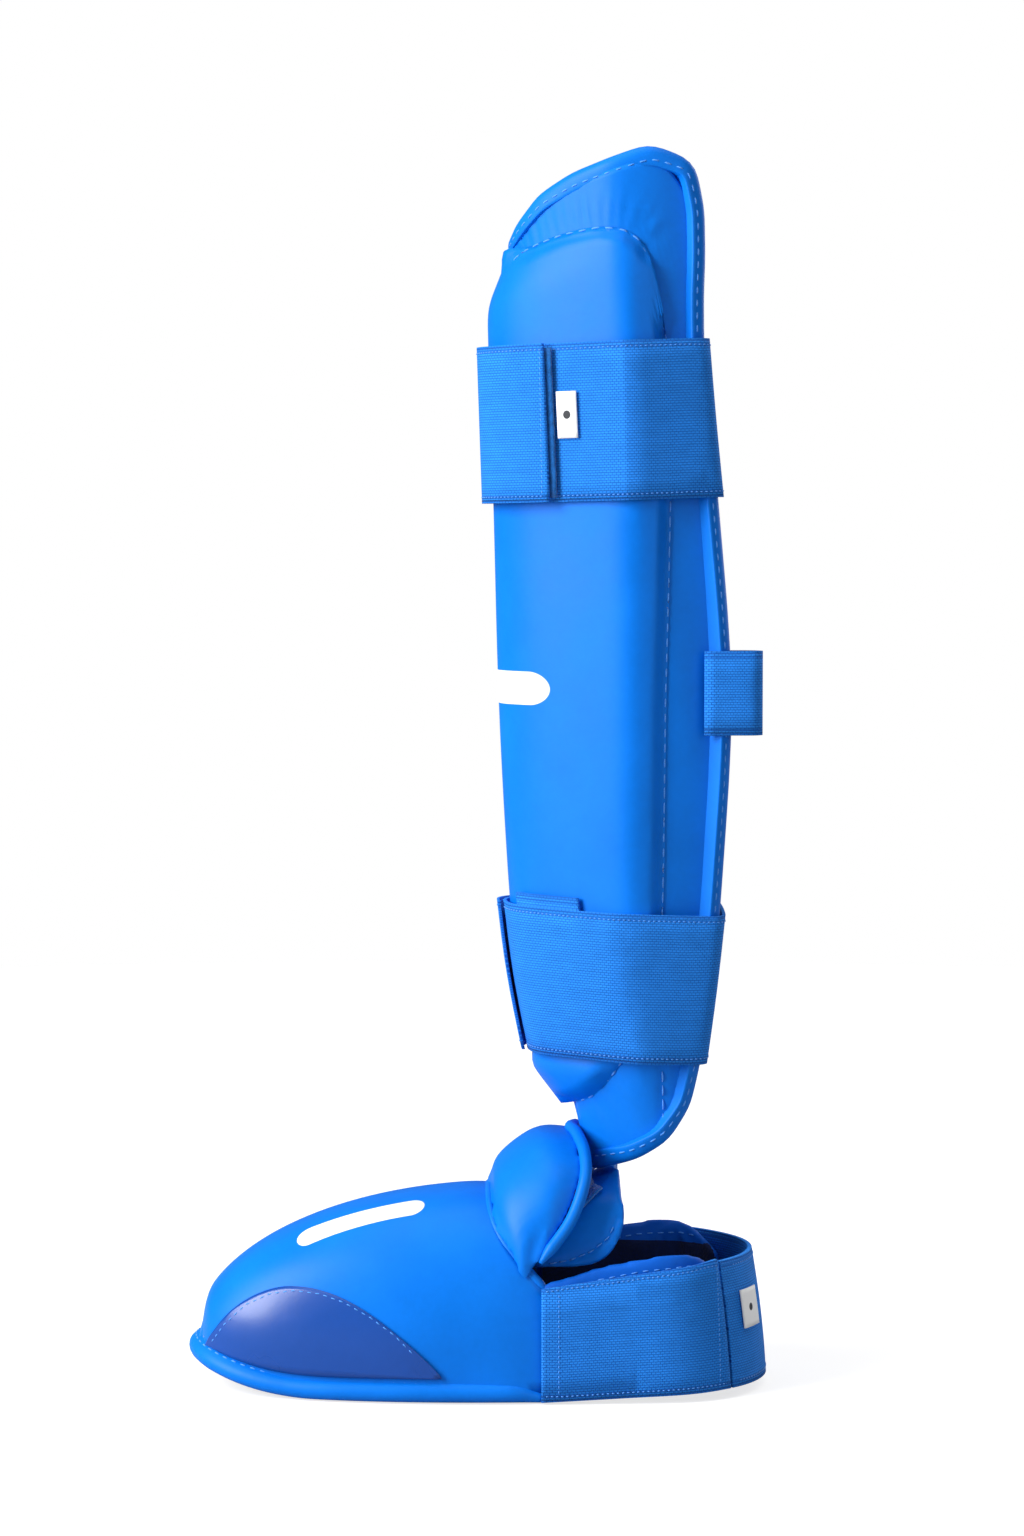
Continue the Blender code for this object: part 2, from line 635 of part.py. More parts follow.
def build_rear_loop(shin):
    height, half = 237.0, 14.0
    girth = BINDING_RADIUS - shin_section(height)[1][-1]
    at = shin_point(girth, height)
    normal = shin_normal(girth, height)
    at = at - normal * (SHELL + LAYER_GAP + LINING) / 2
    inner_radius = BINDING_RADIUS + LAYER_GAP
    thick = 1.4
    bend_x = 94.9 - thick - inner_radius
    turn = np.linspace(-math.pi / 2, math.pi / 2, 7)
    rows_outer, rows_inner = [], []
    for z in (height - half, height + half):
        for rows, radius in ((rows_inner, inner_radius), (rows_outer, inner_radius + thick)):
            bend = np.stack([bend_x + radius * np.cos(turn), at[1] + radius * np.sin(turn)], axis=-1)
            ends = np.array([[at[0] - 6.0, at[1] - radius], [at[0] - 6.0, at[1] + radius]])
            line = np.concatenate([ends[:1], bend, ends[1:]])
            rows.append(np.concatenate([line, np.full((len(line), 1), z)], axis=1))
    sheet_solid("rear_pull_loop", rows_outer, rows_inner, ELASTIC_BLUE, 0.8, shin, SHIN_AXIS)


def build_tail_patch(shin):
    """Hook patch sewn inside the tail of the shin panel, facing the tongue."""
    across = np.linspace(-11.0, 11.0, 5)[None]
    girths, heights = np.broadcast_arrays(across, np.array([80.5, 89.0, 98.0])[:, None])
    depth = SHELL + LAYER_GAP + LINING + LAYER_GAP
    outer = shin_point(girths, heights) - shin_normal(girths, heights) * depth
    inner = shin_point(girths, heights) - shin_normal(girths, heights) * (depth + 0.8)
    sheet_solid("tail_hook_patch", outer, inner, ELASTIC_BLUE, 0.95, shin, SHIN_AXIS)


def build_foot():
    cols = 20
    outer = foot_grid(cols)
    outward = outer - np.array([0.0, 0.0, 5.0])
    normal = grid_normals(outer, outward)
    full = FOOT_SKIN + FOOT_FOAM + FOOT_LINING + 2 * LAYER_GAP
    inner = outer - normal * full
    layers = [
        ("foot_upper", 0.0, FOOT_SKIN, BLUE, 0.42),
        ("foot_foam", FOOT_SKIN + LAYER_GAP, FOOT_SKIN + LAYER_GAP + FOOT_FOAM, FOAM_GREY, 0.9),
        ("foot_lining", -FOOT_LINING, 0.0, NAVY, 0.85),
    ]
    stack(layers, outer, inner)
    path_xy = foot_outline(44, 13.0)
    path = np.concatenate([path_xy, roll_height(path_xy[:, 0])[:, None]], axis=1)
    up = np.tile([0.0, 0.0, 1.0], (len(path), 1))
    tube_solid("foot_edge_binding", path, up, BINDING_RADIUS, 6, False, BLUE, 0.5)
    return outer, normal


def foot_surface(outer, row, col):
    """Bilinear point on the foot's outer grid."""
    r0 = np.clip(np.floor(row).astype(int), 0, outer.shape[0] - 2)
    c0 = np.clip(np.floor(col).astype(int), 0, outer.shape[1] - 2)
    fr = (row - r0)[..., None]
    fc = (col - c0)[..., None]
    return (
        outer[r0, c0] * (1 - fr) * (1 - fc)
        + outer[r0 + 1, c0] * fr * (1 - fc)
        + outer[r0, c0 + 1] * (1 - fr) * fc
        + outer[r0 + 1, c0 + 1] * fr * fc
    )


def build_toe_patches(outer, normal):
    """Darker half-moon overlays low on both sides of the toe box. Each narrows to a point towards the heel."""
    crest = np.array([
        (-97.0, 9.0), (-92.6, 15.4), (-86.0, 25.2), (-78.6, 32.4), (-70.0, 36.6), (-61.8, 38.0), (-53.0, 37.4),
        (-45.0, 35.0), (-36.5, 30.6), (-28.0, 24.6), (-20.0, 16.4), (-12.5, 8.6),
    ])
    low_col = 0.08
    trial = np.linspace(0.14, 8.0, 120)
    rows = np.concatenate([[2.9], np.linspace(3.3, 10.0, 10), [10.35]])
    top_cols = []
    for row in rows:
        arch = foot_surface(outer, np.full(len(trial), row), trial)
        over = arch[:, 2] - np.interp(arch[:, 0], crest[:, 0], crest[:, 1])
        top_cols.append(trial[int(np.argmax(over > 0))])
    across = np.linspace(0, 1, 5)
    cols = low_col + across[:, None] * (np.array(top_cols)[None] - low_col)
    rows = np.broadcast_to(rows[None], cols.shape)
    for name, flip in (("toe_patch_lateral", False), ("toe_patch_medial", True)):
        where = outer.shape[1] - 1 - cols if flip else cols
        point = foot_surface(outer, rows, where)
        facing = unit(foot_surface(normal, rows, where))
        sheet_solid(name, point + facing * (PATCH_SEAT + 0.8), point + facing * PATCH_SEAT, DEEP_BLUE, 0.3)


def flap_lines(count):
    """Seam line on the foot's opening edge and rim line of the instep flap, lateral to medial."""
    phi = np.linspace(-1, 1, count)
    angle = np.radians(62.0) * np.sign(phi) * np.abs(phi) ** 0.9
    seam = foot_row(20.4, 3.6, 67.0, angle, opening=True)
    stations = [
        (0.0, 29.0, 0.0, 86.0), (0.3, 31.4, 12.5, 84.8), (0.52, 33.4, 24.0, 80.4), (0.68, 33.4, 31.0, 74.2),
        (0.82, 30.2, 35.6, 64.4), (0.92, 25.0, 38.8, 55.2), (1.0, 20.0, 40.4, 47.0),
    ]
    rim = spline(stations, np.abs(phi))
    rim[:, 1] *= np.sign(phi)
    return phi, seam, rim


def build_flap(flap):
    """Padded flap over the instep, sewn to the opening of the foot guard, with a corded rim."""
    phi, seam, rim = flap_lines(13)
    back = np.array([1.0, 0.0, 0.25])
    seam = seam + unit(back) * 0.8
    chord = rim - seam
    length = np.linalg.norm(chord, axis=-1)
    mid = (rim + seam) / 2
    outward = np.stack([np.full(len(phi), -0.3), mid[:, 1] / 36.0, 0.75 - 0.5 * np.abs(phi)], axis=-1)
    facing = np.cross(unit(chord), unit(np.gradient(mid, axis=0)))
    facing = unit(facing * np.sign((facing * outward).sum(axis=-1, keepdims=True)))
    t = np.array([0.0, 0.12, 0.32, 0.56, 0.8, 1.0])
    swell = (1 - np.abs(2 * t - 1) ** 2.5) ** (1 / 2.5)
    height = 6.9 * (1 - 0.72 * np.abs(phi) ** 3) * np.minimum(1.0, length / 16.0)
    line = seam[:, None] + chord[:, None] * t[None, :, None]
    crown = line + facing[:, None] * (swell[None, :, None] * height[:, None, None] + 0.9)
    inner = line - facing[:, None] * (2.3 + 0.2 * swell[None, :, None])
    layers = [
        ("instep_flap_cover", 0.0, 1.25, BLUE, 0.42),
        ("instep_flap_padding", 1.25 + LAYER_GAP, 0.0, NAVY, 0.85),
    ]
    stack(layers, crown, inner, flap, FLAP_AXIS)
    along = unit(np.gradient(rim, axis=0))
    direction = unit(chord)
    direction = unit(direction - (direction * along).sum(axis=-1, keepdims=True) * along)
    path = rim + direction * 2.3 - facing * 0.7
    tube_solid("instep_flap_piping", path, facing, 1.6, 6, False, BLUE, 0.4, flap, FLAP_AXIS)


def build_tongue(tongue):
    """Padded ankle tongue behind the flap. Its arms wrap the sides of the ankle."""
    stations = [
        (43.5, 11.0, 40.0, 32.6), (50.0, 15.0, 46.6, 32.2), (57.0, 21.0, 49.4, 31.2),
        (63.5, 28.5, 49.6, 29.6), (69.5, 38.8, 48.4, 26.4), (75.6, 45.6, 48.0, 11.5),
    ]
    rows = np.array(stations)[:, 1:]
    heights = np.array(stations)[:, 0]
    angles = np.linspace(-math.pi / 2, math.pi / 2, 13)
    grid = []
    for (nose, arm, width), z in zip(rows, heights):
        x = nose + (arm - nose) * (1 - super_cos(angles, 3.6))
        y = width * super_sin(angles, 3.6)
        grid.append(np.stack([x, y, np.full(len(x), z)], axis=-1))
    grid = np.array(grid)
    normal = grid_normals(grid, grid - np.array([60.0, 0.0, 50.0]))
    edge_r = np.minimum(np.arange(6), 5 - np.arange(6))[:, None]
    edge_c = np.minimum(np.arange(13), 12 - np.arange(13))[None]
    puff = np.minimum(1.0, np.minimum(edge_r, edge_c * 0.8) * 0.6)[..., None]
    outer = grid + normal * (0.6 * puff - 0.6)
    inner = outer - normal * (3.4 + 3.6 * puff)
    layers = [
        ("ankle_tongue_cover", 0.0, 1.25, BLUE, 0.42),
        ("ankle_tongue_padding", 1.25 + LAYER_GAP, 0.0, NAVY, 0.85),
    ]
    stack(layers, outer, inner, tongue, ANKLE_AXIS)
    patch = outer[2:5, 2:11]
    facing = normal[2:5, 2:11]
    over, under = patch + facing * 1.15, patch + facing * 0.35
    sheet_solid("tongue_loop_patch", over, under, BLUE, 0.95, tongue, ANKLE_AXIS)


def heel_plan(t, inset):
    """Plan line of one side of the heel. t runs from 0 at the foot upper to 1 at the middle of the heel."""
    straight = 0.52
    t = np.asarray(t, float)
    x_line = 21.0 + (61.0 - 21.0) * np.minimum(t / straight, 1)
    y_line = foot_half_width(x_line) - 0.9 * smooth((x_line - 21.0) / 38.0)
    turn = np.clip((t - straight) / (1 - straight), 0, 1) * math.pi / 2
    radius_x = HEEL_BACK - 61.0
    radius_y = foot_half_width(np.array(61.0)) - 0.9
    x = np.where(t <= straight, x_line, 61.0 + (radius_x - inset) * np.sin(turn))
    y = np.where(t <= straight, y_line - inset, (radius_y - inset) * np.cos(turn))
    return np.stack([x, y], axis=-1)


def heel_lean(x, z):
    """How far the heel leans forward over its base at a height."""
    rise = np.clip(z / 46.0, 0, 1.1)
    return (2.0 * rise + 3.2 * rise**2.2) * smooth((x - 60) / 30)


def build_wing(name, side):
    """Padded side of the heel, from the foot upper back to the heel strap."""
    t = np.linspace(0.0, 0.80, 10)
    base = heel_plan(t, WING_SEAT)
    stations = [(22, 40.0), (40, 45.7), (55, 48.6), (70, 50.0), (82, 47.4), (90, 38.0)]
    collar = spline(stations, base[:, 0])[:, 0]
    levels = (0.0, 0.12, 0.5, 0.86, 0.96, 1.0)
    squeeze = (0.55, 1.0, 1.0, 0.95, 0.8, 0.45)
    outer_rows, inner_rows = [], []
    for level, full in zip(levels, squeeze):
        z = 1.2 + (collar - 1.2) * level
        lean = heel_lean(base[:, 0], z)
        slack = WING * (1 - full) / 2
        outer = heel_plan(t, WING_SEAT + slack)
        inner = heel_plan(t, WING_SEAT + WING - slack)
        for rows, line in ((outer_rows, outer), (inner_rows, inner)):
            rows.append(np.stack([line[:, 0] - lean, side * line[:, 1], z], axis=-1))
    sheet_solid(name, outer_rows, inner_rows, BLUE, 0.45)


def heel_strip(
    name, side, ends, inset, thick, low, high, color, roughness, parent=None, origin=(0, 0, 0), count=9
):
    """A vertical strip on the heel line, between two places t on one side."""
    t = np.linspace(*ends, count)
    rows_outer, rows_inner = [], []
    for level in (0.0, 0.5, 1.0):
        outer = heel_plan(t, inset)
        inner = heel_plan(t, inset + thick)
        floor = np.interp(t, ends, low)
        top = np.interp(t, ends, high)
        z = floor + (top - floor) * level
        lean = heel_lean(outer[:, 0], z)
        rows_outer.append(np.stack([outer[:, 0] - lean, side * outer[:, 1], z], axis=-1))
        rows_inner.append(np.stack([inner[:, 0] - lean, side * inner[:, 1], z], axis=-1))
    return sheet_solid(name, rows_outer, rows_inner, color, roughness, parent, origin)


def build_heel(heel_tab):
    build_wing("heel_wing_lateral", -1)
    build_wing("heel_wing_medial", 1)
    t = np.linspace(-1.0, 1.0, 25)
    reach = np.where(t < 0, 1 - 0.26 * -t, 1 - 0.62 * t)
    side = np.where(t < 0, -1.0, 1.0)
    rows_outer, rows_inner = [], []
    for level in (0.0, 0.25, 0.6, 1.0):
        z = 3.0 + 43.0 * level
        for rows, inset in ((rows_outer, 0.0), (rows_inner, 1.4)):
            line = heel_plan(reach, inset + 1.2 * smooth(t * 2.2))
            lean = heel_lean(line[:, 0], z)
            rows.append(np.stack([line[:, 0] - lean, side * line[:, 1], np.full(len(t), z)], axis=-1))
    sheet_solid("heel_strap_band", rows_outer, rows_inner, ELASTIC_BLUE, 0.8)
    heel_strip("heel_loop_patch", -1, (0.04, 0.40), 2.5, 0.55, (6, 8), (34, 38), BLUE, 0.95, count=5)
    heel_strip("heel_hook_patch", -1, (0.02, 0.42), 1.6, 0.55, (4, 5), (35, 39), ELASTIC_BLUE, 0.95,
               heel_tab, HEEL_TAB_AXIS, 5)
    heel_strip("heel_strap_tab", -1, (0.0, 0.732), 0.0, 1.25, (0.4, 3.0), (38.6, 46.8), ELASTIC_BLUE, 0.8,
               heel_tab, HEEL_TAB_AXIS, 12)
    heel_strip("heel_size_label", -1, (0.80, 0.89), -0.8, 0.4, (22, 22), (35, 35), WHITE, 0.6, count=4)


def build_sole_band(name, center, half, leg_y, color):
    """Elastic under the sole: a flat run on the floor with both ends turned up inside the foot guard."""
    thick, bend = 1.3, 4.5
    turn = np.linspace(0, math.pi / 2, 4)
    rows_outer, rows_inner = [], []
    for x, leg in ((center - half, leg_y[0]), (center + half, leg_y[1])):
        for rows, radius in ((rows_outer, bend), (rows_inner, bend - thick)):
            corner = np.stack([leg - bend + radius * np.cos(turn), bend - radius * np.sin(turn)], axis=-1)
            leg_top = np.array([[corner[0, 0], 21.0]])
            line = np.concatenate([leg_top, corner, [[0.0, corner[-1, 1]]]])
            line = np.concatenate([line * np.array([-1, 1]), line[-2::-1]])
            rows.append(np.concatenate([np.full((len(line), 1), x), line], axis=1))
    sheet_solid(name, rows_outer, rows_inner, color, 0.8)


def main():
    clear_scene()
    foot_frame = make_empty("foot_frame", (0, 0, 0))
    flap = make_empty("flap_axis", FLAP_AXIS, foot_frame)
    tongue = make_empty("ankle_axis", ANKLE_AXIS, foot_frame)
    shin = make_empty("shin_axis", SHIN_AXIS, tongue)
    upper_tab = make_empty("upper_tab_axis", UPPER_TAB_AXIS, shin)
    lower_tab = make_empty("lower_tab_axis", LOWER_TAB_AXIS, shin)
    heel_tab = make_empty("heel_tab_axis", HEEL_TAB_AXIS, foot_frame)

    build_shin(shin)
    build_straps(shin, upper_tab, lower_tab)
    build_rear_loop(shin)
    build_tail_patch(shin)
    outer, normal = build_foot()
    build_toe_patches(outer, normal)
    build_flap(flap)
    build_tongue(tongue)
    build_heel(heel_tab)
    build_sole_band("arch_elastic", 0.0, 14.0, (34.6, 34.6), ELASTIC_BLUE)
    build_sole_band("toe_elastic", -52.0, 9.0, (28.4, 28.4), ELASTIC_BLUE)


main()
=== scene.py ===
"""Looks of a karate shin and instep guard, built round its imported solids.

Each piece is a fine mesh grown from its own solids or swept along them, with seams, gathers and stitches
added in millimetres. X runs from the toes to the heel, the lateral side is -Y and +Z is up.
"""

import json
import math

import bmesh
import bpy
import numpy as np
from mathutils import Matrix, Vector
from mathutils.bvhtree import BVHTree
from mathutils.kdtree import KDTree


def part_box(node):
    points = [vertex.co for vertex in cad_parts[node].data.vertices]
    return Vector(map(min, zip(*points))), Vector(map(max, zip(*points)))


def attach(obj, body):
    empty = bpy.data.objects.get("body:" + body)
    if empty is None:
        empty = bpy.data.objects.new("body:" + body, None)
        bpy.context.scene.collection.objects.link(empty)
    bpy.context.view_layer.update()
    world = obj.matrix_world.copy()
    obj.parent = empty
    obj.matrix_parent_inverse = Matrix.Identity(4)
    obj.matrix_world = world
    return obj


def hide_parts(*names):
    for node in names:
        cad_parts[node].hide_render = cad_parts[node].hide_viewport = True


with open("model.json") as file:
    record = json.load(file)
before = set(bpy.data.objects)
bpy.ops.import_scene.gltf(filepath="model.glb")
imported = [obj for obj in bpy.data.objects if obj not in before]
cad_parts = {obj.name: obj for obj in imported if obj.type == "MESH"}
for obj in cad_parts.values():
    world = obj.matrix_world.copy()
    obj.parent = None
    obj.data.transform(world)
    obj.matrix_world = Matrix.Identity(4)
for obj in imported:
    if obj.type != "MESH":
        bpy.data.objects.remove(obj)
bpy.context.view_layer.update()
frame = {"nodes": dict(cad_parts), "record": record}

MM = 0.001
NODES = frame["nodes"]
RECORD = frame["record"]
BODY_OF = {node: body for body, nodes in RECORD["behaviour"]["bodies"].items() for node in nodes}

# Colours, linear
BLUE = (0.0006, 0.168, 0.720)
WING_BLUE = (0.0015, 0.105, 0.560)
DEEP_BLUE = (0.003, 0.060, 0.330)
ELASTIC_BLUE = (0.020, 0.235, 0.800)
# Painted shade colour for the gaps between picks and the rib valleys of the woven elastic
ELASTIC_PAINTED_SHADE = (0.003, 0.070, 0.400)
THREAD_BLUE = (0.060, 0.300, 0.850)
NAVY = (0.002, 0.010, 0.060)
FOAM_GREY = (0.300, 0.310, 0.330)
WHITE = (0.880, 0.890, 0.900)
INK = (0.020, 0.022, 0.030)

# Places and sizes, in millimetres
SHIN_CENTRE = (46.0, 0.0)
HEEL_CENTRE = (58.0, 0.0)
BINDING_RADIUS = 3.3
CORD_RADIUS = 1.6
ROLL_RADIUS = 2.1
WELT_RADIUS = 1.7
OUTSIDE = 130
BESIDE = 90.0
EDGE_ROW = 2.1
END_ROW = 2.5
FINE_STITCH = {"pitch": 1.7, "length": 1.05, "radius": 0.22, "sink": 0.08}
COARSE_STITCH = {"pitch": 5.0, "length": 3.6, "radius": 0.30}

CLOTH_PRESSURE = 4.0
CLOTH_FRAMES = 20
FLOOR_GLOW = 0.72


# ---------------------------------------------------------------- mesh helpers


def linked(name, data):
    obj = bpy.data.objects.new(name, data)
    bpy.context.scene.collection.objects.link(obj)
    return obj


def welded(node):
    """A CAD solid's form with its doubled corners joined."""
    bm = bmesh.new()
    bm.from_mesh(NODES[node].data)
    bmesh.ops.remove_doubles(bm, verts=bm.verts, dist=1e-5)
    return bm


def finished(name, bm):
    mesh = bpy.data.meshes.new(name)
    bm.to_mesh(mesh)
    bm.free()
    return mesh


def bake_modifiers(obj):
    """Replaces a piece's mesh with what its modifiers make of it."""
    graph = bpy.context.evaluated_depsgraph_get()
    mesh = bpy.data.meshes.new_from_object(obj.evaluated_get(graph))
    obj.modifiers.clear()
    obj.data = mesh
    return obj


def grown(node, name, levels=2, sharp=38.0, shape=None):
    """A fine copy of a CAD solid: quads again, creased where it turns sharply, then subdivided.
    The shape function may move the corners of the coarse form first. It gets the sharp corners too."""
    bm = welded(node)
    bmesh.ops.join_triangles(
        bm, faces=bm.faces, angle_face_threshold=math.radians(60), angle_shape_threshold=math.radians(70)
    )
    layer = bm.edges.layers.float.get("crease_edge") or bm.edges.layers.float.new("crease_edge")
    rim = set()
    for edge in bm.edges:
        if len(edge.link_faces) == 2 and edge.calc_face_angle() > math.radians(sharp):
            edge[layer] = 1.0
            rim.update(edge.verts)
    if shape is not None:
        shape(bm, rim)
    obj = linked(name, finished(name, bm))
    modifier = obj.modifiers.new("fine", "SUBSURF")
    modifier.levels = modifier.render_levels = levels
    modifier.boundary_smooth = "PRESERVE_CORNERS"
    bake_modifiers(obj)
    obj.data.materials.clear()
    obj.data.shade_smooth()
    obj.data.set_sharp_from_angle(angle=math.radians(50))
    return obj


def vectors_of(items, key):
    found = np.empty(len(items) * 3, np.float32)
    items.foreach_get(key, found)
    return found.reshape(-1, 3)


def coords(obj):
    """Vertex places in millimetres."""
    return vectors_of(obj.data.vertices, "co").astype(float) / MM


def set_coords(obj, points):
    obj.data.vertices.foreach_set("co", (points * MM).astype(np.float32).ravel())
    obj.data.update()


def normals(obj):
    return vectors_of(obj.data.vertex_normals, "vector").astype(float)


def unit(vectors):
    return vectors / np.maximum(np.linalg.norm(vectors, axis=-1, keepdims=True), 1e-12)


def smooth(value):
    value = np.clip(value, 0.0, 1.0)
    return value * value * (3 - 2 * value)


def tube_path(node, radius):
    """Centres of the rings of a swept cord, in order, in millimetres."""
    bm = welded(node)
    bm.verts.ensure_lookup_table()
    owner = {}
    centres, rings = [], []
    for first in bm.verts:
        if first in owner:
            continue
        ring, todo = [], [first]
        owner[first] = len(rings)
        while todo:
            vert = todo.pop()
            ring.append(vert)
            for edge in vert.link_edges:
                other = edge.other_vert(vert)
                if other not in owner and edge.calc_length() / MM < 1.2 * radius:
                    owner[other] = len(rings)
                    todo.append(other)
        rings.append(ring)
        centres.append(np.mean([vert.co for vert in ring], axis=0) / MM)
    near = [
        {owner[edge.other_vert(vert)] for vert in ring for edge in vert.link_edges} - {k}
        for k, ring in enumerate(rings)
    ]
    ends = [k for k, others in enumerate(near) if len(others) == 1]
    order = [ends[0] if ends else 0]
    while True:
        onward = [k for k in sorted(near[order[-1]]) if k not in order]
        if not onward:
            break
        order.append(onward[0])
    bm.free()
    return np.array([centres[k] for k in order])


def pull_rim(tree, within, deeper):
    """A shape for grown(): rim corners near another surface reach into it, so that no gap shows."""

    def shape(bm, rim):
        for vert in rim:
            hit, normal, _, gap = tree.find_nearest(vert.co)
            if gap < within * MM:
                vert.co = hit - normal * (deeper * MM)

    return shape


def reach_path(path, centre, stop):
    """A shape for grown(): rim corners run out level until they end inside the cord that follows a path."""

    def shape(bm, rim):
        for vert in rim:
            at = np.array(vert.co) / MM
            gaps = path - at
            near = gaps[np.argmin(np.linalg.norm(gaps, axis=1))]
            out = unit((at - centre) * np.array([1.0, 1.0, 0.0]))
            level = near - out * (near @ out)
            size = np.linalg.norm(level)
            if stop < size < 14.0:
                vert.co = Vector((at + level * (1 - stop / size)) * MM)

    return shape


def both_shapes(first, second):
    """A shape for grown() made of two, one after the other."""

    def shape(bm, rim):
        first(bm, rim)
        second(bm, rim)

    return shape


def node_tree(node):
    bm = bmesh.new()
    bm.from_mesh(NODES[node].data)
    tree = BVHTree.FromBMesh(bm)
    bm.free()
    return tree


def tree_of(obj):
    graph = bpy.context.evaluated_depsgraph_get()
    return BVHTree.FromObject(obj, graph)


def cast(tree, starts, aims):
    """First hits of rays on a surface, in millimetres, with their normals. Misses are left out."""
    points, facing = [], []
    for start, aim in zip(starts, aims):
        hit, normal, _, _ = tree.ray_cast(Vector(start) * MM, Vector(aim))
        if hit is not None:
            points.append(np.array(hit) / MM)
            facing.append(np.array(normal))
    return np.array(points), np.array(facing)


def arc_length(line):
    return np.concatenate([[0], np.cumsum(np.linalg.norm(np.diff(line, axis=0), axis=1))])


def resampled(line, step):
    """A line's points at even steps."""
    line = np.asarray(line, float)
    length = arc_length(line)
    where = np.linspace(0, length[-1], max(2, int(round(length[-1] / step)) + 1))
    return np.stack([np.interp(where, length, line[:, k]) for k in range(line.shape[1])], axis=-1)


def rounded(points, step=1.0):
    """A smooth line through a few given points."""
    points = np.asarray(points, float)
    keys = arc_length(points)
    slopes = np.gradient(points, keys, axis=0)
    where = np.linspace(0, keys[-1], int(keys[-1] / step) + 2)
    left = np.clip(np.searchsorted(keys, where, side="right") - 1, 0, len(keys) - 2)
    span = (keys[left + 1] - keys[left])[:, None]
    t = (where - keys[left])[:, None] / span
    a, b = points[left], points[left + 1]
    return (
        (2 * t**3 - 3 * t**2 + 1) * a
        + (t**3 - 2 * t**2 + t) * slopes[left] * span
        + (3 * t**2 - 2 * t**3) * b
        + (t**3 - t**2) * slopes[left + 1] * span
    )


def side_line(tree, outline, side):
    """A line drawn on the side view (x, z), laid on a surface from one side (-1 lateral, 1 medial)."""
    flat = resampled(outline, 0.7)
    starts = np.stack([flat[:, 0], np.full(len(flat), side * BESIDE), flat[:, 1]], axis=-1)
    return cast(tree, starts, np.tile([0.0, -side, 0.0], (len(flat), 1)))


def from_ends(line):
    """How far each point of a line is from its nearer end, along the line."""
    run = arc_length(line)
    return np.minimum(run, run[-1] - run)


def distance_to(points, line):
    """Distance from each point to a line of points, and which of them is nearest."""
    tree = KDTree(len(line))
    for k, at in enumerate(line):
        tree.insert(at, k)
    tree.balance()
    found = [tree.find(p) for p in points]
    return np.array([f[2] for f in found]), np.array([f[1] for f in found])


def press(obj, line, depth, width):
    """Sinks a surface along a sewn line."""
    points = coords(obj)
    box = (points > line.min(0) - 4 * width).all(1) & (points < line.max(0) + 4 * width).all(1)
    gap, _ = distance_to(points[box], line)
    points[box] -= normals(obj)[box] * (depth * np.exp(-((gap / width) ** 2)))[:, None]
    set_coords(obj, points)


def gather(obj, line, depth, pitch, reach, seed):
    """Small folds that run away from a sewn line."""
    rng = np.random.default_rng(seed)
    length = arc_length(line)
    phase = np.cumsum(rng.uniform(0.6, 1.5, int(length[-1] / pitch) + 3)) * 2 * math.pi
    knots = np.arange(len(phase)) * pitch
    strength = rng.uniform(0.25, 1.0, len(phase))
    points = coords(obj)
    gap, nearest = distance_to(points, line)
    s = length[nearest]
    wave = np.sin(np.interp(s, knots, phase)) * np.interp(s, knots, strength)
    fade = np.clip(gap / reach, 0, 1)
    shape = fade * np.exp(-3.0 * fade) * 2.718 * (1 - fade)
    ends = smooth(s / 6.0) * smooth((length[-1] - s) / 6.0)
    push = depth * wave * shape * ends
    set_coords(obj, points + normals(obj) * push[:, None])


def stitches(name, line, facing, pitch, length, radius, sink=0.1):
    """A row of thread stitches along a line on a surface."""
    run = arc_length(line)
    starts = np.arange(pitch * 0.3, run[-1] - length, pitch)
    sides, rings = 6, 5
    turn = np.arange(sides) * 2 * math.pi / sides
    points, faces = [], []
    for start in starts:
        where = start + np.linspace(0, length, rings)
        at = np.stack([np.interp(where, run, line[:, k]) for k in range(3)], axis=-1)
        up = unit(np.stack([np.interp(where, run, facing[:, k]) for k in range(3)], axis=-1))
        along = unit(np.gradient(at, axis=0))
        across = unit(np.cross(along, up))
        bow = np.sin(np.linspace(0, math.pi, rings)) ** 0.5
        at = at + up * (radius * (1.1 * bow - 0.55) - sink)[:, None]
        thick = radius * (0.45 + 0.55 * bow)
        ring = at[:, None] + thick[:, None, None] * (
            np.cos(turn)[None, :, None] * up[:, None] + np.sin(turn)[None, :, None] * across[:, None]
        )
        base = sum(len(p) for p in points)
        points.append(ring.reshape(-1, 3))
        for r in range(rings - 1):
            for k in range(sides):
                m = (k + 1) % sides
                a, b = base + r * sides, base + (r + 1) * sides
                faces.append((a + k, a + m, b + m, b + k))
        faces.append(tuple(base + k for k in range(sides))[::-1])
        faces.append(tuple(base + (rings - 1) * sides + k for k in range(sides)))
    mesh = bpy.data.meshes.new(name)
    mesh.from_pydata((np.concatenate(points) * MM).tolist(), [], faces)
    mesh.shade_smooth()
    mesh.update()
    return linked(name, mesh)


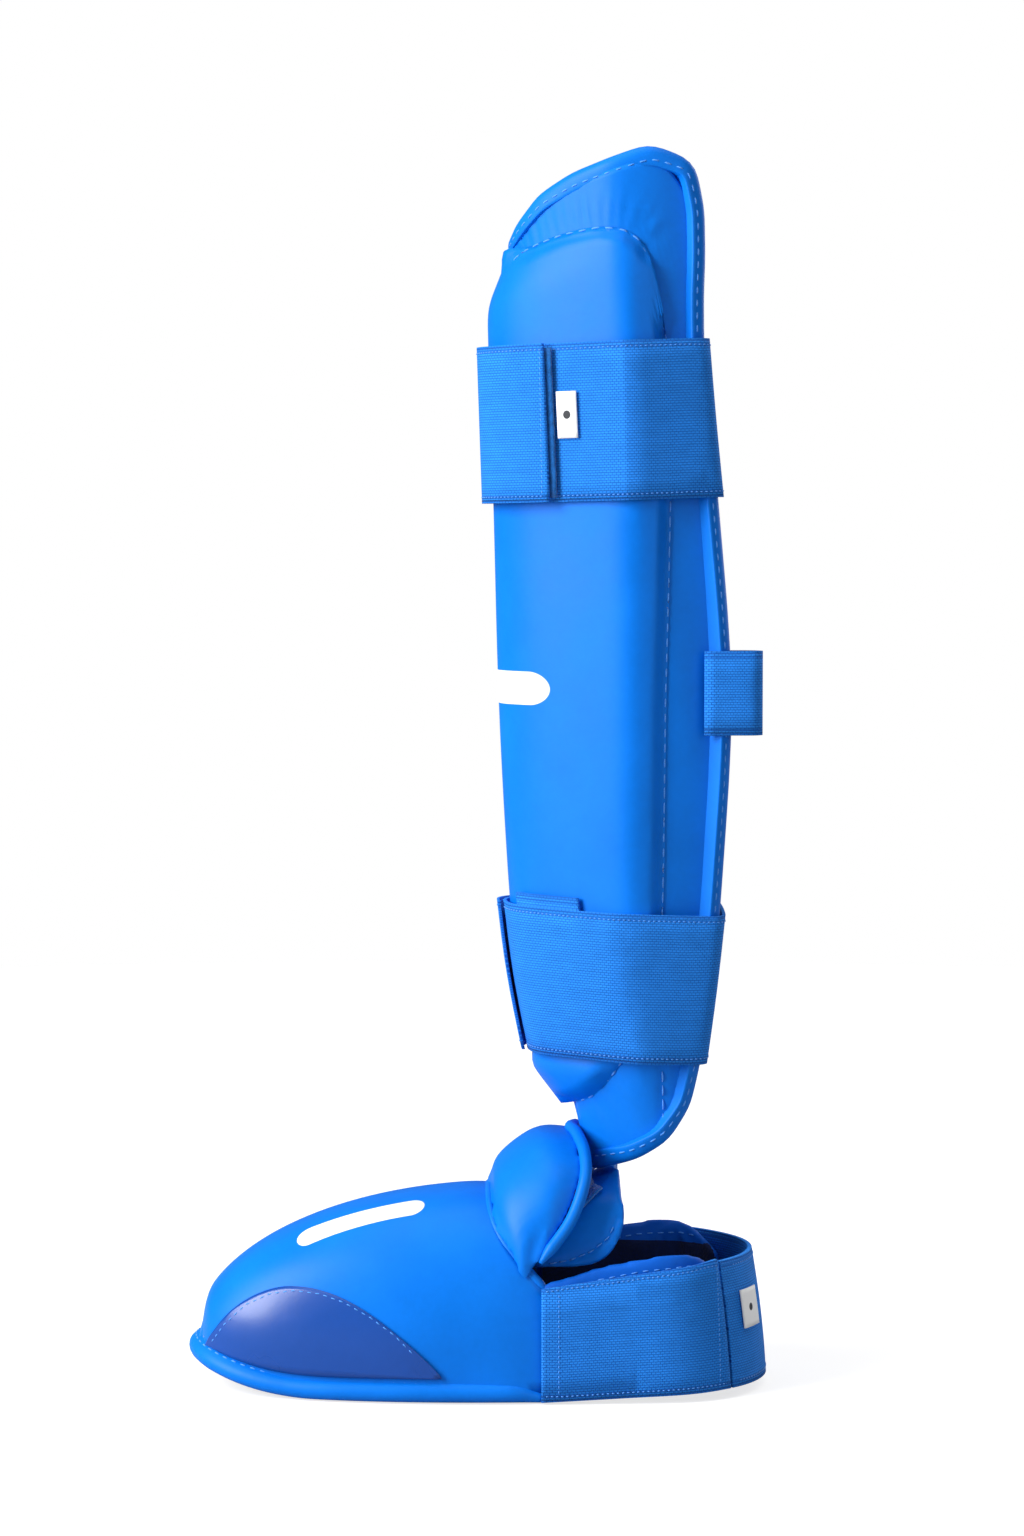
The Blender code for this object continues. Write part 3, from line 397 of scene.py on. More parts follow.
class Girth:
    """Where a band lies round a centre: its radius and its lower and upper edge by direction.
    The seam is the direction, in degrees from +X, where the girth starts."""

    BINS = 120
    WINDOW = math.radians(7)

    def __init__(self, obj, centre, seam=0.0):
        points = coords(obj)
        self.obj, self.centre, self.seam = obj, np.array(centre, float), math.radians(seam)
        flat = points[:, :2] - self.centre
        self.angle = np.mod(np.arctan2(flat[:, 1], flat[:, 0]) - self.seam, 2 * math.pi)
        radius = np.linalg.norm(flat, axis=1)
        keys, rows = [], []
        for key in (np.arange(self.BINS) + 0.5) / self.BINS * 2 * math.pi:
            off = np.abs(np.mod(self.angle - key + math.pi, 2 * math.pi) - math.pi)
            near = off < self.WINDOW
            if near.any():
                keys.append(key)
                rows.append((radius[near].max(), points[near, 2].min(), points[near, 2].max()))
        self.keys = np.array(keys)
        self.radius, self.low, self.high = np.array(rows).T

    def store(self):
        """Stores each corner's way round, its height and its distance from the edge as "weave"."""
        obj = self.obj
        edges = np.linspace(0, 2 * math.pi, self.BINS + 1)
        radius = np.interp(edges, self.keys, self.radius)
        slope = np.gradient(radius, edges)
        pace = np.sqrt(radius**2 + slope**2)
        girth = np.concatenate([[0], np.cumsum((pace[1:] + pace[:-1]) / 2 * np.diff(edges))])
        points = coords(obj)
        up = points[:, 2] - np.interp(self.angle, self.keys, self.low)
        edge = np.minimum(up, np.interp(self.angle, self.keys, self.high) - points[:, 2])
        loops = np.empty(len(obj.data.loops), np.int32)
        obj.data.loops.foreach_get("vertex_index", loops)
        values = np.stack([np.interp(self.angle, edges, girth), up, edge], axis=-1)[loops]
        counts = np.empty(len(obj.data.polygons), np.int32)
        obj.data.polygons.foreach_get("loop_total", counts)
        owner = np.repeat(np.arange(len(counts)), counts)
        highest = np.full(len(counts), -1e9)
        np.maximum.at(highest, owner, values[:, 0])
        values[values[:, 0] < highest[owner] - girth[-1] / 2, 0] += girth[-1]
        attribute = obj.data.attributes.new("weave", "FLOAT_VECTOR", "CORNER")
        attribute.data.foreach_set("vector", values.astype(np.float32).ravel())

    def line(self, start, end, up=None, down=None):
        """A line round the band between two directions in degrees from +X, so far up from its lower edge or
        so far down from its upper edge, with its outward normals."""
        angle = np.radians(np.linspace(start, end, max(2, int(abs(end - start)) * 2)))
        where = np.mod(angle - self.seam, 2 * math.pi)
        if up is not None:
            z = np.interp(where, self.keys, self.low) + up
        else:
            z = np.interp(where, self.keys, self.high) - down
        return self.hits(angle, z)

    def upright(self, direction, margin):
        """A line up the band at one direction, so far inside its lower and its upper edge."""
        angle = math.radians(direction)
        where = (angle - self.seam) % (2 * math.pi)
        low = np.interp(where, self.keys, self.low) + margin
        high = np.interp(where, self.keys, self.high) - margin
        return self.hits(np.full(60, angle), np.linspace(low, high, 60))

    def hits(self, angle, z):
        """Where level rays from outside meet the band, with its outward normals."""
        aim = np.stack([-np.cos(angle), -np.sin(angle), np.zeros(len(angle))], axis=-1)
        starts = np.column_stack([self.centre - aim[:, :2] * OUTSIDE, z])
        return cast(tree_of(self.obj), starts, aim)


# ---------------------------------------------------------------- materials


class Shader:
    """A Principled material whose nodes are added one call at a time."""

    def __init__(self, name, color, roughness, **fixed):
        self.material = bpy.data.materials.new(name)
        self.material.use_nodes = True
        self.tree = self.material.node_tree
        self.surface = self.tree.nodes["Principled BSDF"]
        self.surface.inputs["Base Color"].default_value = (*color, 1)
        self.surface.inputs["Roughness"].default_value = roughness
        for key, value in fixed.items():
            self.surface.inputs[key.replace("_", " ").title().replace("Ior", "IOR")].default_value = value
        self.material.diffuse_color = (*color, 1)

    def add(self, kind, inputs=None, **settings):
        node = self.tree.nodes.new(kind)
        for key, value in settings.items():
            setattr(node, key, value)
        for key, value in (inputs or {}).items():
            if isinstance(value, bpy.types.NodeSocket):
                self.tree.links.new(value, node.inputs[key])
            else:
                node.inputs[key].default_value = value
        return node

    def where(self, scale=1.0):
        """Object coordinates in millimetres, times a scale."""
        place = self.add("ShaderNodeTexCoord").outputs["Object"]
        return self.add(
            "ShaderNodeVectorMath", {0: place, 3: scale / MM}, operation="SCALE"
        ).outputs[0]

    def noise(self, vector, size, detail=2.0, distortion=0.0):
        inputs = {"Vector": vector, "Scale": 1.0 / size, "Detail": detail, "Distortion": distortion}
        return self.add("ShaderNodeTexNoise", inputs).outputs["Fac"]

    def voronoi(self, vector, scale, feature="F1"):
        inputs = {"Vector": vector, "Scale": scale}
        return self.add("ShaderNodeTexVoronoi", inputs, feature=feature).outputs["Distance"]

    def math(self, operation, a, b=0.0, c=0.0):
        return self.add("ShaderNodeMath", {0: a, 1: b, 2: c}, operation=operation).outputs[0]

    def hypotenuse(self, a, b):
        return self.math("SQRT", self.math("ADD", self.math("POWER", a, 2.0), self.math("POWER", b, 2.0)))

    def ramp(self, value, low, high, start=0.0, end=1.0):
        inputs = {"Value": value, "From Min": low, "From Max": high, "To Min": start, "To Max": end}
        return self.add("ShaderNodeMapRange", inputs).outputs["Result"]

    def mix(self, share, a, b):
        node = self.add("ShaderNodeMix", data_type="RGBA")
        inputs = {"Factor_Float": share, "A_Color": a, "B_Color": b}
        for socket in node.inputs:
            if socket.identifier in inputs:
                value = inputs[socket.identifier]
                if isinstance(value, bpy.types.NodeSocket):
                    self.tree.links.new(value, socket)
                elif isinstance(value, tuple) and len(value) == 3:
                    socket.default_value = (*value, 1)
                else:
                    socket.default_value = value
        return next(s for s in node.outputs if s.identifier == "Result_Color")

    def bump(self, height, strength, distance, under=None):
        inputs = {"Height": height, "Strength": strength, "Distance": distance * MM}
        if under is not None:
            inputs["Normal"] = under
        return self.add("ShaderNodeBump", inputs).outputs["Normal"]

    def wear(self, color=None, roughness=None, normal=None):
        for key, value in (("Base Color", color), ("Roughness", roughness), ("Normal", normal)):
            if value is not None:
                self.tree.links.new(value, self.surface.inputs[key])
        return self.material


def lighter(color, share):
    return tuple(min(1.0, c * share) for c in color)


def leather(name, color, roughness=0.42, grain=0.10, mask=None, gloss=0.14):
    """Smooth polyurethane skin: faint pebble grain, soft tone changes and slow roughness changes."""
    shader = Shader(name, color, roughness, specular_ior_level=gloss)
    at = shader.where()
    tone = shader.noise(at, 26.0, 3.0)
    fine = shader.noise(at, 2.2, 3.0)
    shade = shader.math("MULTIPLY_ADD", fine, 0.25, shader.math("MULTIPLY", tone, 0.75))
    base = shader.mix(shader.ramp(shade, 0.35, 0.65), lighter(color, 0.93), lighter(color, 1.06))
    rough = shader.ramp(tone, 0.3, 0.7, roughness - 0.04, roughness + 0.05)
    pebble = shader.voronoi(at, 1.6, "SMOOTH_F1")
    normal = shader.bump(pebble, grain, 0.12)
    soft = shader.noise(at, 9.0, 2.0)
    normal = shader.bump(soft, 0.10, 0.6, normal)
    if mask is not None:
        print_share = mask(shader, at)
        base = shader.mix(print_share, base, WHITE)
    return shader.wear(base, rough, normal)


def elastic(name, color, dark):
    """Woven elastic: staggered picks in fine rows, ribs along both edges, painted shade in gaps and rib
    valleys.
    """
    shader = Shader(name, color, 0.78, specular_ior_level=0.12, sheen_weight=0.12, sheen_roughness=0.4,
                    sheen_tint=(0.2, 0.5, 1.0, 1.0))
    at = shader.add("ShaderNodeAttribute", attribute_name="weave").outputs["Vector"]
    brick = shader.add(
        "ShaderNodeTexBrick",
        {
            "Vector": at, "Scale": 1.0, "Mortar Size": 0.16, "Mortar Smooth": 0.8, "Brick Width": 1.5,
            "Row Height": 0.85, "Bias": 0.0,
        },
        offset=0.5,
    )
    mortar = brick.outputs["Fac"]
    parts = shader.add("ShaderNodeSeparateXYZ", {0: at})
    edge = parts.outputs["Z"]
    rib = shader.math("COSINE", shader.math("MULTIPLY", edge, 2 * math.pi / 1.3))
    rib_share = shader.ramp(edge, 2.4, 2.9, 1.0, 0.0)
    tone = shader.noise(at, 7.0, 4.0)
    streak = shader.add("ShaderNodeVectorMath", {0: at, 1: (0.02, 1.4, 0.0)}, operation="MULTIPLY")
    lines = shader.noise(streak.outputs[0], 1.0, 1.0)
    shade = shader.math("MULTIPLY_ADD", lines, 0.5, shader.math("MULTIPLY", tone, 0.5))
    base = shader.mix(shader.ramp(shade, 0.3, 0.7), lighter(color, 0.86), lighter(color, 1.12))
    # Painted shade: the gaps between the picks are darkened towards the dark colour
    base = shader.mix(shader.math("MULTIPLY", mortar, 0.8), base, dark)
    # Painted shade: the valleys of the edge ribs are darkened
    low = shader.math("MULTIPLY", shader.ramp(rib, -1.0, 1.0, 0.55, 0.0), rib_share)
    base = shader.mix(low, base, dark)
    height = shader.math("SUBTRACT", 1.0, mortar)
    ridge = shader.math("MULTIPLY", rib, rib_share)
    height = shader.math("ADD", height, shader.math("MULTIPLY", ridge, 0.6))
    return shader.wear(base, None, shader.bump(height, 0.65, 0.28))


def pile(name, color, size=0.5, strength=0.9):
    """Fuzzy loop or short hook tape."""
    shader = Shader(name, color, 0.95, specular_ior_level=0.15, sheen_weight=0.5, sheen_roughness=0.4)
    at = shader.where()
    fuzz = shader.noise(at, size, 4.0, 0.6)
    clump = shader.noise(at, 3.0, 2.0)
    shade = shader.math("MULTIPLY_ADD", clump, 0.4, shader.math("MULTIPLY", fuzz, 0.6))
    base = shader.mix(shader.ramp(shade, 0.3, 0.7), lighter(color, 0.55), lighter(color, 1.35))
    return shader.wear(base, None, shader.bump(fuzz, strength, 0.5))


def lining_cloth(name, color):
    """Brushed knit lining."""
    shader = Shader(name, color, 0.9, specular_ior_level=0.2, sheen_weight=0.3, sheen_roughness=0.5)
    at = shader.where()
    knit = shader.voronoi(at, 1.1)
    tone = shader.noise(at, 12.0, 3.0)
    base = shader.mix(shader.ramp(tone, 0.35, 0.65), lighter(color, 0.75), lighter(color, 1.3))
    return shader.wear(base, None, shader.bump(knit, 0.5, 0.3))


def foam(name, color):
    shader = Shader(name, color, 0.95, specular_ior_level=0.2)
    at = shader.where()
    cells = shader.voronoi(at, 1.4)
    base = shader.mix(shader.ramp(cells, 0.1, 0.7), lighter(color, 0.8), lighter(color, 1.1))
    return shader.wear(base, None, shader.bump(cells, 0.6, 0.4))


def thread(name, color):
    shader = Shader(name, color, 0.6, specular_ior_level=0.4, sheen_weight=0.3)
    at = shader.where()
    ply = shader.noise(at, 0.35, 2.0)
    base = shader.mix(shader.ramp(ply, 0.3, 0.7), lighter(color, 0.75), lighter(color, 1.15))
    return shader.wear(base, None, shader.bump(ply, 0.5, 0.1))


def label_cloth(name, mark_at):
    """White satin label with a plain round dot."""
    shader = Shader(name, WHITE, 0.55, specular_ior_level=0.35)
    at = shader.where()
    weft = shader.add(
        "ShaderNodeTexBrick",
        {"Vector": at, "Scale": 1.0, "Mortar Size": 0.04, "Brick Width": 0.9, "Row Height": 0.35},
    ).outputs["Fac"]
    gap = shader.add("ShaderNodeVectorMath", {0: at, 1: mark_at}, operation="DISTANCE").outputs["Value"]
    dot = shader.ramp(gap, 1.35, 1.5, 1.0, 0.0)
    base = shader.mix(dot, WHITE, INK)
    return shader.wear(base, None, shader.bump(weft, 0.3, 0.08))


def shin_stripe(shader, at):
    """Plain band across the front of the shin pad, with round ends."""
    parts = shader.add("ShaderNodeSeparateXYZ", {0: at})
    y = shader.math("ABSOLUTE", parts.outputs["Y"])
    dy = shader.math("MAXIMUM", shader.math("SUBTRACT", y, 20.0), 0.0)
    dz = shader.math("ABSOLUTE", shader.math("SUBTRACT", parts.outputs["Z"], 238.0))
    return shader.ramp(shader.hypotenuse(dy, dz), 5.4, 5.7, 1.0, 0.0)


def foot_stripe(shader, at):
    """Plain stripe along each side of the instep, with round ends."""
    parts = shader.add("ShaderNodeSeparateXYZ", {0: at})
    y = shader.math("ABSOLUTE", parts.outputs["Y"])
    x = shader.math("ABSOLUTE", shader.math("ADD", parts.outputs["X"], 40.0))
    dx = shader.math("MAXIMUM", shader.math("SUBTRACT", x, 17.0), 0.0)
    dy = shader.math("ABSOLUTE", shader.math("SUBTRACT", y, 19.0))
    return shader.ramp(shader.hypotenuse(dx, dy), 4.4, 4.7, 1.0, 0.0)


MATERIALS = {
    "skin": leather("blue_skin", BLUE),
    "shin_print": leather("shin_skin", BLUE, mask=shin_stripe),
    "foot_print": leather("foot_skin", BLUE, mask=foot_stripe),
    "panel": leather("panel_skin", BLUE, 0.46),
    "wing": leather("wing_skin", WING_BLUE, 0.55, 0.2),
    "binding": leather("binding_skin", BLUE, 0.45, 0.12),
    "dark": leather("toe_patch_skin", DEEP_BLUE, 0.30, 0.06, gloss=0.5),
    "elastic": elastic("woven_elastic", ELASTIC_BLUE, ELASTIC_PAINTED_SHADE),
    "loop": pile("loop_pile", lighter(ELASTIC_BLUE, 0.7)),
    "hook": pile("hook_tape", lighter(ELASTIC_BLUE, 0.5), 0.7, 0.6),
    "lining": lining_cloth("knit_lining", NAVY),
    "foam": foam("closed_cell_foam", FOAM_GREY),
    "thread": thread("sewing_thread", THREAD_BLUE),
}


# ---------------------------------------------------------------- pieces


def dress(obj, nodes, *materials, replace=True):
    """Gives a piece its materials and its body, and hides the CAD nodes it stands for unless replace is off.
    """
    nodes = [nodes] if isinstance(nodes, str) else list(nodes)
    for material in materials:
        obj.data.materials.append(MATERIALS[material] if isinstance(material, str) else material)
    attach(obj, BODY_OF[nodes[0]])
    if replace:
        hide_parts(*nodes)
    return obj


def sew(name, node, line, facing, **sizes):
    """Stitches that ride with a node and stand for none."""
    return dress(stitches(name, line, facing, **sizes), node, "thread", replace=False)


def piece(node, name, material, levels=2, **options):
    return dress(grown(node, name, levels, **options), node, material)


def band(node, name, centre, seam=0.0):
    """A woven piece with its weave laid along its girth, which is returned."""
    obj = grown(node, name)
    girth = Girth(obj, centre, seam)
    girth.store()
    dress(obj, node, "elastic")
    return girth


def sew_edges(name, node, girth, ends, word="_stitching"):
    """Stitch rows along the upper and the lower edge of a band, between two directions in degrees."""
    sew(name + "_top" + word, node, *girth.line(*ends, down=EDGE_ROW), **FINE_STITCH)
    sew(name + "_bottom" + word, node, *girth.line(*ends, up=EDGE_ROW), **FINE_STITCH)


def sew_end(name, node, girth, direction):
    """A stitch row up a band."""
    sew(name, node, *girth.upright(direction, END_ROW), **FINE_STITCH)


def paint_faces(obj, index, test):
    """Gives another of the piece's materials to faces whose centre, in millimetres, and normal pass a test."""
    mesh = obj.data
    picked = test(vectors_of(mesh.polygons, "center") / MM, vectors_of(mesh.polygons, "normal"))
    found = np.zeros(len(mesh.polygons), np.int32)
    mesh.polygons.foreach_get("material_index", found)
    found[picked] = index
    mesh.polygons.foreach_set("material_index", found)


def inflated(name, nodes, voxel, cap, shrink, shape=None):
    """A sewn and stuffed piece: its solids are joined into one skin, which cloth simulation
    swells."""
    parts = [grown(node, name + "_form", 2, sharp=60.0, shape=shape) for node in nodes]
    bm = bmesh.new()
    for part in parts:
        bm.from_mesh(part.data)
        bpy.data.objects.remove(part)
    obj = linked(name, finished(name, bm))
    modifier = obj.modifiers.new("one_skin", "REMESH")
    modifier.mode = "VOXEL"
    modifier.voxel_size = voxel * MM
    bake_modifiers(obj)
    smoother = obj.modifiers.new("smooth", "SMOOTH")
    smoother.factor = 0.5
    smoother.iterations = 6
    bake_modifiers(obj)
    start = coords(obj)
    start = start - normals(obj) * shrink
    set_coords(obj, start)
    swell(obj, start, cap)
    modifier = obj.modifiers.new("fine", "SUBSURF")
    modifier.levels = modifier.render_levels = 1
    bake_modifiers(obj)
    obj.data.materials.clear()
    obj.data.shade_smooth()
    return obj


def swell(obj, start, cap):
    """Cloth simulation with pressure inside and no gravity. No point moves further than the cap."""
    scene = bpy.context.scene
    cloth = obj.modifiers.new("cloth", "CLOTH")
    settings = cloth.settings
    settings.quality = 6
    settings.mass = 0.15
    settings.tension_stiffness = settings.compression_stiffness = 20
    settings.shear_stiffness = 10
    settings.bending_stiffness = 0.8
    settings.use_pressure = True
    settings.uniform_pressure_force = CLOTH_PRESSURE
    settings.effector_weights.gravity = 0.0
    cloth.point_cache.frame_start, cloth.point_cache.frame_end = 1, CLOTH_FRAMES
    for number in range(1, CLOTH_FRAMES + 1):
        scene.frame_set(number)
    bake_modifiers(obj)
    scene.frame_set(1)
    moved = coords(obj) - start
    reach = np.linalg.norm(moved, axis=1, keepdims=True)
    set_coords(obj, start + moved * np.minimum(1.0, cap / np.maximum(reach, 1e-9)))


# Border of the raised shin pad seen from the side, from its top nose round the back to its bottom nose
PAD_BORDER = [
    (10.6, 380.2), (14.0, 383.4), (20.0, 386.2), (28.0, 388.8), (40.0, 390.8), (48.0, 389.8), (54.2, 385.8),
    (58.8, 377.4), (61.2, 366.0), (62.4, 350.0), (63.2, 330.0), (63.6, 301.0), (63.0, 270.0), (62.1, 235.0),
    (61.8, 200.0), (61.4, 168.0), (60.8, 153.0), (59.2, 140.0), (56.1, 129.0), (51.6, 119.5), (46.3, 110.0),
    (41.6, 103.0), (37.8, 99.2), (34.0, 97.2), (32.6, 96.6),
]


def both_sides(tree, outline):
    """A closed line round a piece, drawn on the side view from nose to nose."""
    near, near_facing = side_line(tree, outline, -1)
    far, far_facing = side_line(tree, outline, 1)
    line = np.concatenate([near, far[::-1], near[:1]])
    facing = np.concatenate([near_facing, far_facing[::-1], near_facing[:1]])
    return line, facing


def smoothed_loop(line, passes):
    for _ in range(passes):
        line = (np.roll(line, 1, axis=0) + 2 * line + np.roll(line, -1, axis=0)) / 4
    return line


def smoothed(line, facing, passes=6):
    for _ in range(passes):
        line[1:-1] = (line[:-2] + 2 * line[1:-1] + line[2:]) / 4
        facing[1:-1] = (facing[:-2] + 2 * facing[1:-1] + facing[2:]) / 4
    return line, unit(facing)


def swept(name, path, facing, inward, profile, closed):
    """A strip with a fixed profile of (inward, outward) points, swept along a path."""
    path, facing = np.asarray(path, float), unit(facing)
    if closed:
        tangent = unit(np.roll(path, -1, axis=0) - np.roll(path, 1, axis=0))
    else:
        tangent = unit(np.gradient(path, axis=0))
    into = unit(np.cross(tangent, facing))
    into = into * np.sign((into * inward).sum())
    out = unit(np.cross(into, tangent))
    out = out * np.sign((out * facing).sum())
    profile = np.asarray(profile, float)
    if profile.ndim == 2:
        profile = np.tile(profile, (len(path), 1, 1))
    rings = path[:, None] + into[:, None] * profile[..., :1] + out[:, None] * profile[..., 1:]
    count, sides = rings.shape[:2]
    faces = []
    for r in range(count if closed else count - 1):
        q = (r + 1) % count
        for k in range(sides):
            m = (k + 1) % sides
            faces.append((r * sides + k, r * sides + m, q * sides + m, q * sides + k))
    if not closed:
        faces.append(tuple(range(sides))[::-1])
        faces.append(tuple((count - 1) * sides + k for k in range(sides)))
    bm = bmesh.new()
    corners = [bm.verts.new(point * MM) for point in rings.reshape(-1, 3)]
    for face in faces:
        bm.faces.new([corners[k] for k in face])
    bmesh.ops.recalc_face_normals(bm, faces=bm.faces)
    mesh = finished(name, bm)
    mesh.shade_smooth()
    return linked(name, mesh), into, out


def round_profile(radii):
    """A round section for each point of a path."""
    turn = np.linspace(0, 2 * math.pi, 13)[:-1]
    return np.array([[(r * math.cos(a), r * math.sin(a)) for a in turn] for r in radii])


def binding_profile(radius, lip, panel):
    """Folded binding in section: a round outer edge, then a flat tongue with a thin lip on both faces."""
    turn = np.linspace(-math.pi / 2, math.pi / 2, 11)
    edge = [(-radius * math.cos(a), radius * 0.98 * math.sin(a)) for a in turn]
    shares = ((0.35, 0.99), (0.7, 0.96), (0.93, 0.92), (1.0, 0.84))
    face = [(lip * along, radius * up) for along, up in shares]
    inner = [(lip * 0.99, panel)]
    upper = edge + face + inner
    lower = [(x, -y) for x, y in (inner + face[::-1])]
    return upper + lower


def make_shin():
    path = tube_path("shin_edge_binding", BINDING_RADIUS)
    path = resampled(np.concatenate([path, path[:1]]), 2.2)[:-1]
    path = smoothed_loop(path, 3)
    close = reach_path(path, np.array([*SHIN_CENTRE, 0.0]), 0.8)
    backing = piece("shin_backing", "shin_panel", "panel", 3, shape=close)
    piece("shin_lining", "shin_lining_cloth", "lining", shape=close)
    up = (path - np.array([*SHIN_CENTRE, 0.0])) * np.array([1.0, 1.0, 0.0])
    inward = path.mean(axis=0) - path
    profile = binding_profile(BINDING_RADIUS, 3.5, 2.2)
    binding, into, out = swept("shin_rim_binding", path, up, inward, profile, True)
    dress(binding, "shin_edge_binding", "binding")
    piece("shin_pad_foam_core", "shin_foam", "foam", 1)
    pad = piece("shin_pad_cover", "shin_pad_skin", "shin_print")
    settle_pad(pad, tree_of(backing))
    sew_shin(backing, pad)
    for name, tilt in (("outer", 1.0), ("inner", -1.0)):
        line = path + into * 1.5 + out * (3.25 * tilt)
        line = np.concatenate([line, line[:1]])
        facing = np.concatenate([out, out[:1]]) * tilt
        name = "shin_binding_stitching_" + name
        sew(name, "shin_edge_binding", line, facing, pitch=4.2, length=2.9, radius=0.27)


def settle_pad(pad, panel):
    """Lays the pad's rim down on the panel, fills out its lower end and lifts the top of its nose."""
    points = coords(pad)
    facing = normals(pad)
    border, _ = both_sides(tree_of(pad), PAD_BORDER)
    gap, _ = distance_to(points, border)
    for k in np.nonzero((gap < 7.0) | (points[:, 2] < 124))[0]:
        hit, normal, _, _ = panel.find_nearest(Vector(points[k] * MM))
        share = float(smooth(1 - gap[k] / 4.5))
        outward = np.array(normal)
        lift = float(np.dot(points[k] - np.array(hit) / MM, outward))
        points[k] -= outward * (lift - 0.12) * share * 0.9
        low = float(smooth((117 - points[k, 2]) / 9)) * float(smooth((34.0 - abs(points[k, 1])) / 14))
        puff = 3.0 * smooth(gap[k] / 6.0) * float(facing[k] @ outward > 0)
        points[k] += outward * low * puff
        top = float(smooth((points[k, 2] - 374) / 7)) * float(smooth((20.0 - abs(points[k, 1])) / 12))
        points[k] += (outward * 0.9 + np.array([0.0, 0.0, 3.6])) * top
    set_coords(pad, points)


def sew_shin(backing, pad):
    panel = tree_of(backing)
    skin = tree_of(pad)
    border, facing = smoothed(*both_sides(skin, PAD_BORDER))
    even = resampled(np.column_stack([border, facing]), 0.6)
    border, facing = even[:, :3], unit(even[:, 3:])
    gather(backing, border[border[:, 2] > 370], 1.1, 3.6, 17.0, 3)
    gather(backing, border[border[:, 2] < 112], 0.8, 5.0, 14.0, 5)
    gather(pad, border, 0.22, 4.0, 7.0, 7)
    sew("shin_pad_stitching", "shin_pad_cover", border, facing, **COARSE_STITCH)
    for side, name in ((-1, "lateral"), (1, "medial")):
        line, up = side_line(panel, [(61.6, 111.0), (62.0, 98.0), (62.2, 85.5)], side)
        press(backing, line, 0.5, 1.2)
        sew(name + "_tail_stitching", "shin_backing", line, up, **COARSE_STITCH)


def make_straps():
    upper_girth = band("upper_strap_band", "upper_strap_elastic", SHIN_CENTRE)
    lower_girth = band("lower_strap_band", "lower_strap_elastic", SHIN_CENTRE)
    band("lower_strap_anchor", "lower_strap_under_layer", SHIN_CENTRE)
    upper_end_girth = band("upper_strap_tab", "upper_strap_end", SHIN_CENTRE)
    lower_end_girth = band("lower_strap_tab", "lower_strap_end", SHIN_CENTRE)
    sew_edges("upper_strap", "upper_strap_band", upper_girth, (-178, 178), "_edge_stitching")
    sew_edges("lower_strap", "lower_strap_band", lower_girth, (-178, 178), "_edge_stitching")
    sew_edges("upper_end", "upper_strap_tab", upper_end_girth, (-179, -127))
    sew_end("upper_end_end_stitching", "upper_strap_tab", upper_end_girth, -128.5)
    sew_edges("lower_end", "lower_strap_tab", lower_end_girth, (179, 127))
    sew_end("lower_end_end_stitching", "lower_strap_tab", lower_end_girth, 128.5)
    for node in ("upper_loop_patch", "lower_loop_patch"):
        piece(node, node + "_pile", "loop")
    for node in ("upper_hook_patch", "lower_hook_patch", "tail_hook_patch"):
        piece(node, node + "_tape", "hook")
    make_label("upper_size_label", "upper_label")
    band("rear_pull_loop", "rear_webbing_loop", (88.0, -31.0))


def make_label(node, name):
    low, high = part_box(node)
    piece(node, name, label_cloth(name + "_cloth", tuple((low + high) / 2 / MM)))


def tuck_under_strap(tree):
    """A shape for the foot's skin, which runs on under the heel strap and down into the binding."""
    into_binding = pull_rim(tree, 3.0, 1.6)

    def shape(bm, rim):
        into_binding(bm, rim)
        for vert in bm.verts:
            x, y, z = vert.co / MM
            back = smooth((x - 12.0) / 7.0) * smooth((48.0 - z) / 12.0)
            low = smooth((x + 13.0) / 28.0) * smooth((12.0 - z) / 5.0)
            vert.co.z -= 3.6 * MM * low
            vert.co.x += 7.0 * MM * back
            vert.co.y -= math.copysign(2.6 * MM * back, y)

    return shape


def stop_short(bm, rim):
    """A shape for the foot's foam, which ends before the skin dips under the heel strap."""
    for vert in bm.verts:
        x, _, z = vert.co / MM
        vert.co.x -= 6.0 * MM * smooth((x - 14.0) / 6.0) * smooth((50.0 - z) / 10.0)


def seam_welt(skin):
    """A thin welt along the opening of the foot guard, where the instep flap is sewn on."""
    points = coords(skin)
    angle = np.degrees(np.arctan2(points[:, 1] / 43.4, (points[:, 2] - 7.0) / 60.3))
    line = []
    for turn in np.linspace(-60, 60, 41):
        near = points[np.abs(angle - turn) < 2.5]
        line.append(near[near[:, 0] > near[:, 0].max() - 0.8].mean(axis=0))
    line = resampled(smoothed(np.array(line), np.array(line))[0], 1.2)
    profile = round_profile(WELT_RADIUS * (0.4 + 0.6 * smooth(from_ends(line) / 8.0)))
    middle = line.mean(axis=0)
    welt, _, _ = swept("flap_seam_welt", line, line - middle, middle - line, profile, False)
    dress(welt, "foot_upper", "skin", replace=False)


# Upper edge of the toe patch seen from the side
PATCH_CREST = [
    (-91.0, 15.8), (-86.0, 23.2), (-78.6, 30.6), (-70.0, 34.9), (-61.8, 36.4), (-53.0, 35.8), (-45.0, 33.4),
    (-36.5, 29.0), (-28.0, 23.0), (-21.0, 16.0),
]


def settle_patch(patch, skin):
    """Lays a toe patch down on the foot's skin, lowest at its edge."""
    points = coords(patch)
    for k, at in enumerate(points):
        hit, normal, _, _ = skin.find_nearest(Vector(at * MM))
        outward = np.array(normal)
        lift = float((at - np.array(hit) / MM) @ outward)
        points[k] = at - outward * (max(lift, 0.0) * 0.62)
    set_coords(patch, points)


def sew_toe_patch(side, node):
    way = -1 if side == "lateral" else 1
    line, facing = side_line(tree_of(bpy.data.objects[side + "_toe_patch"]), PATCH_CREST, way)
    sew(side + "_toe_patch_stitching", node, line, facing, pitch=2.9, length=1.9, radius=0.22)


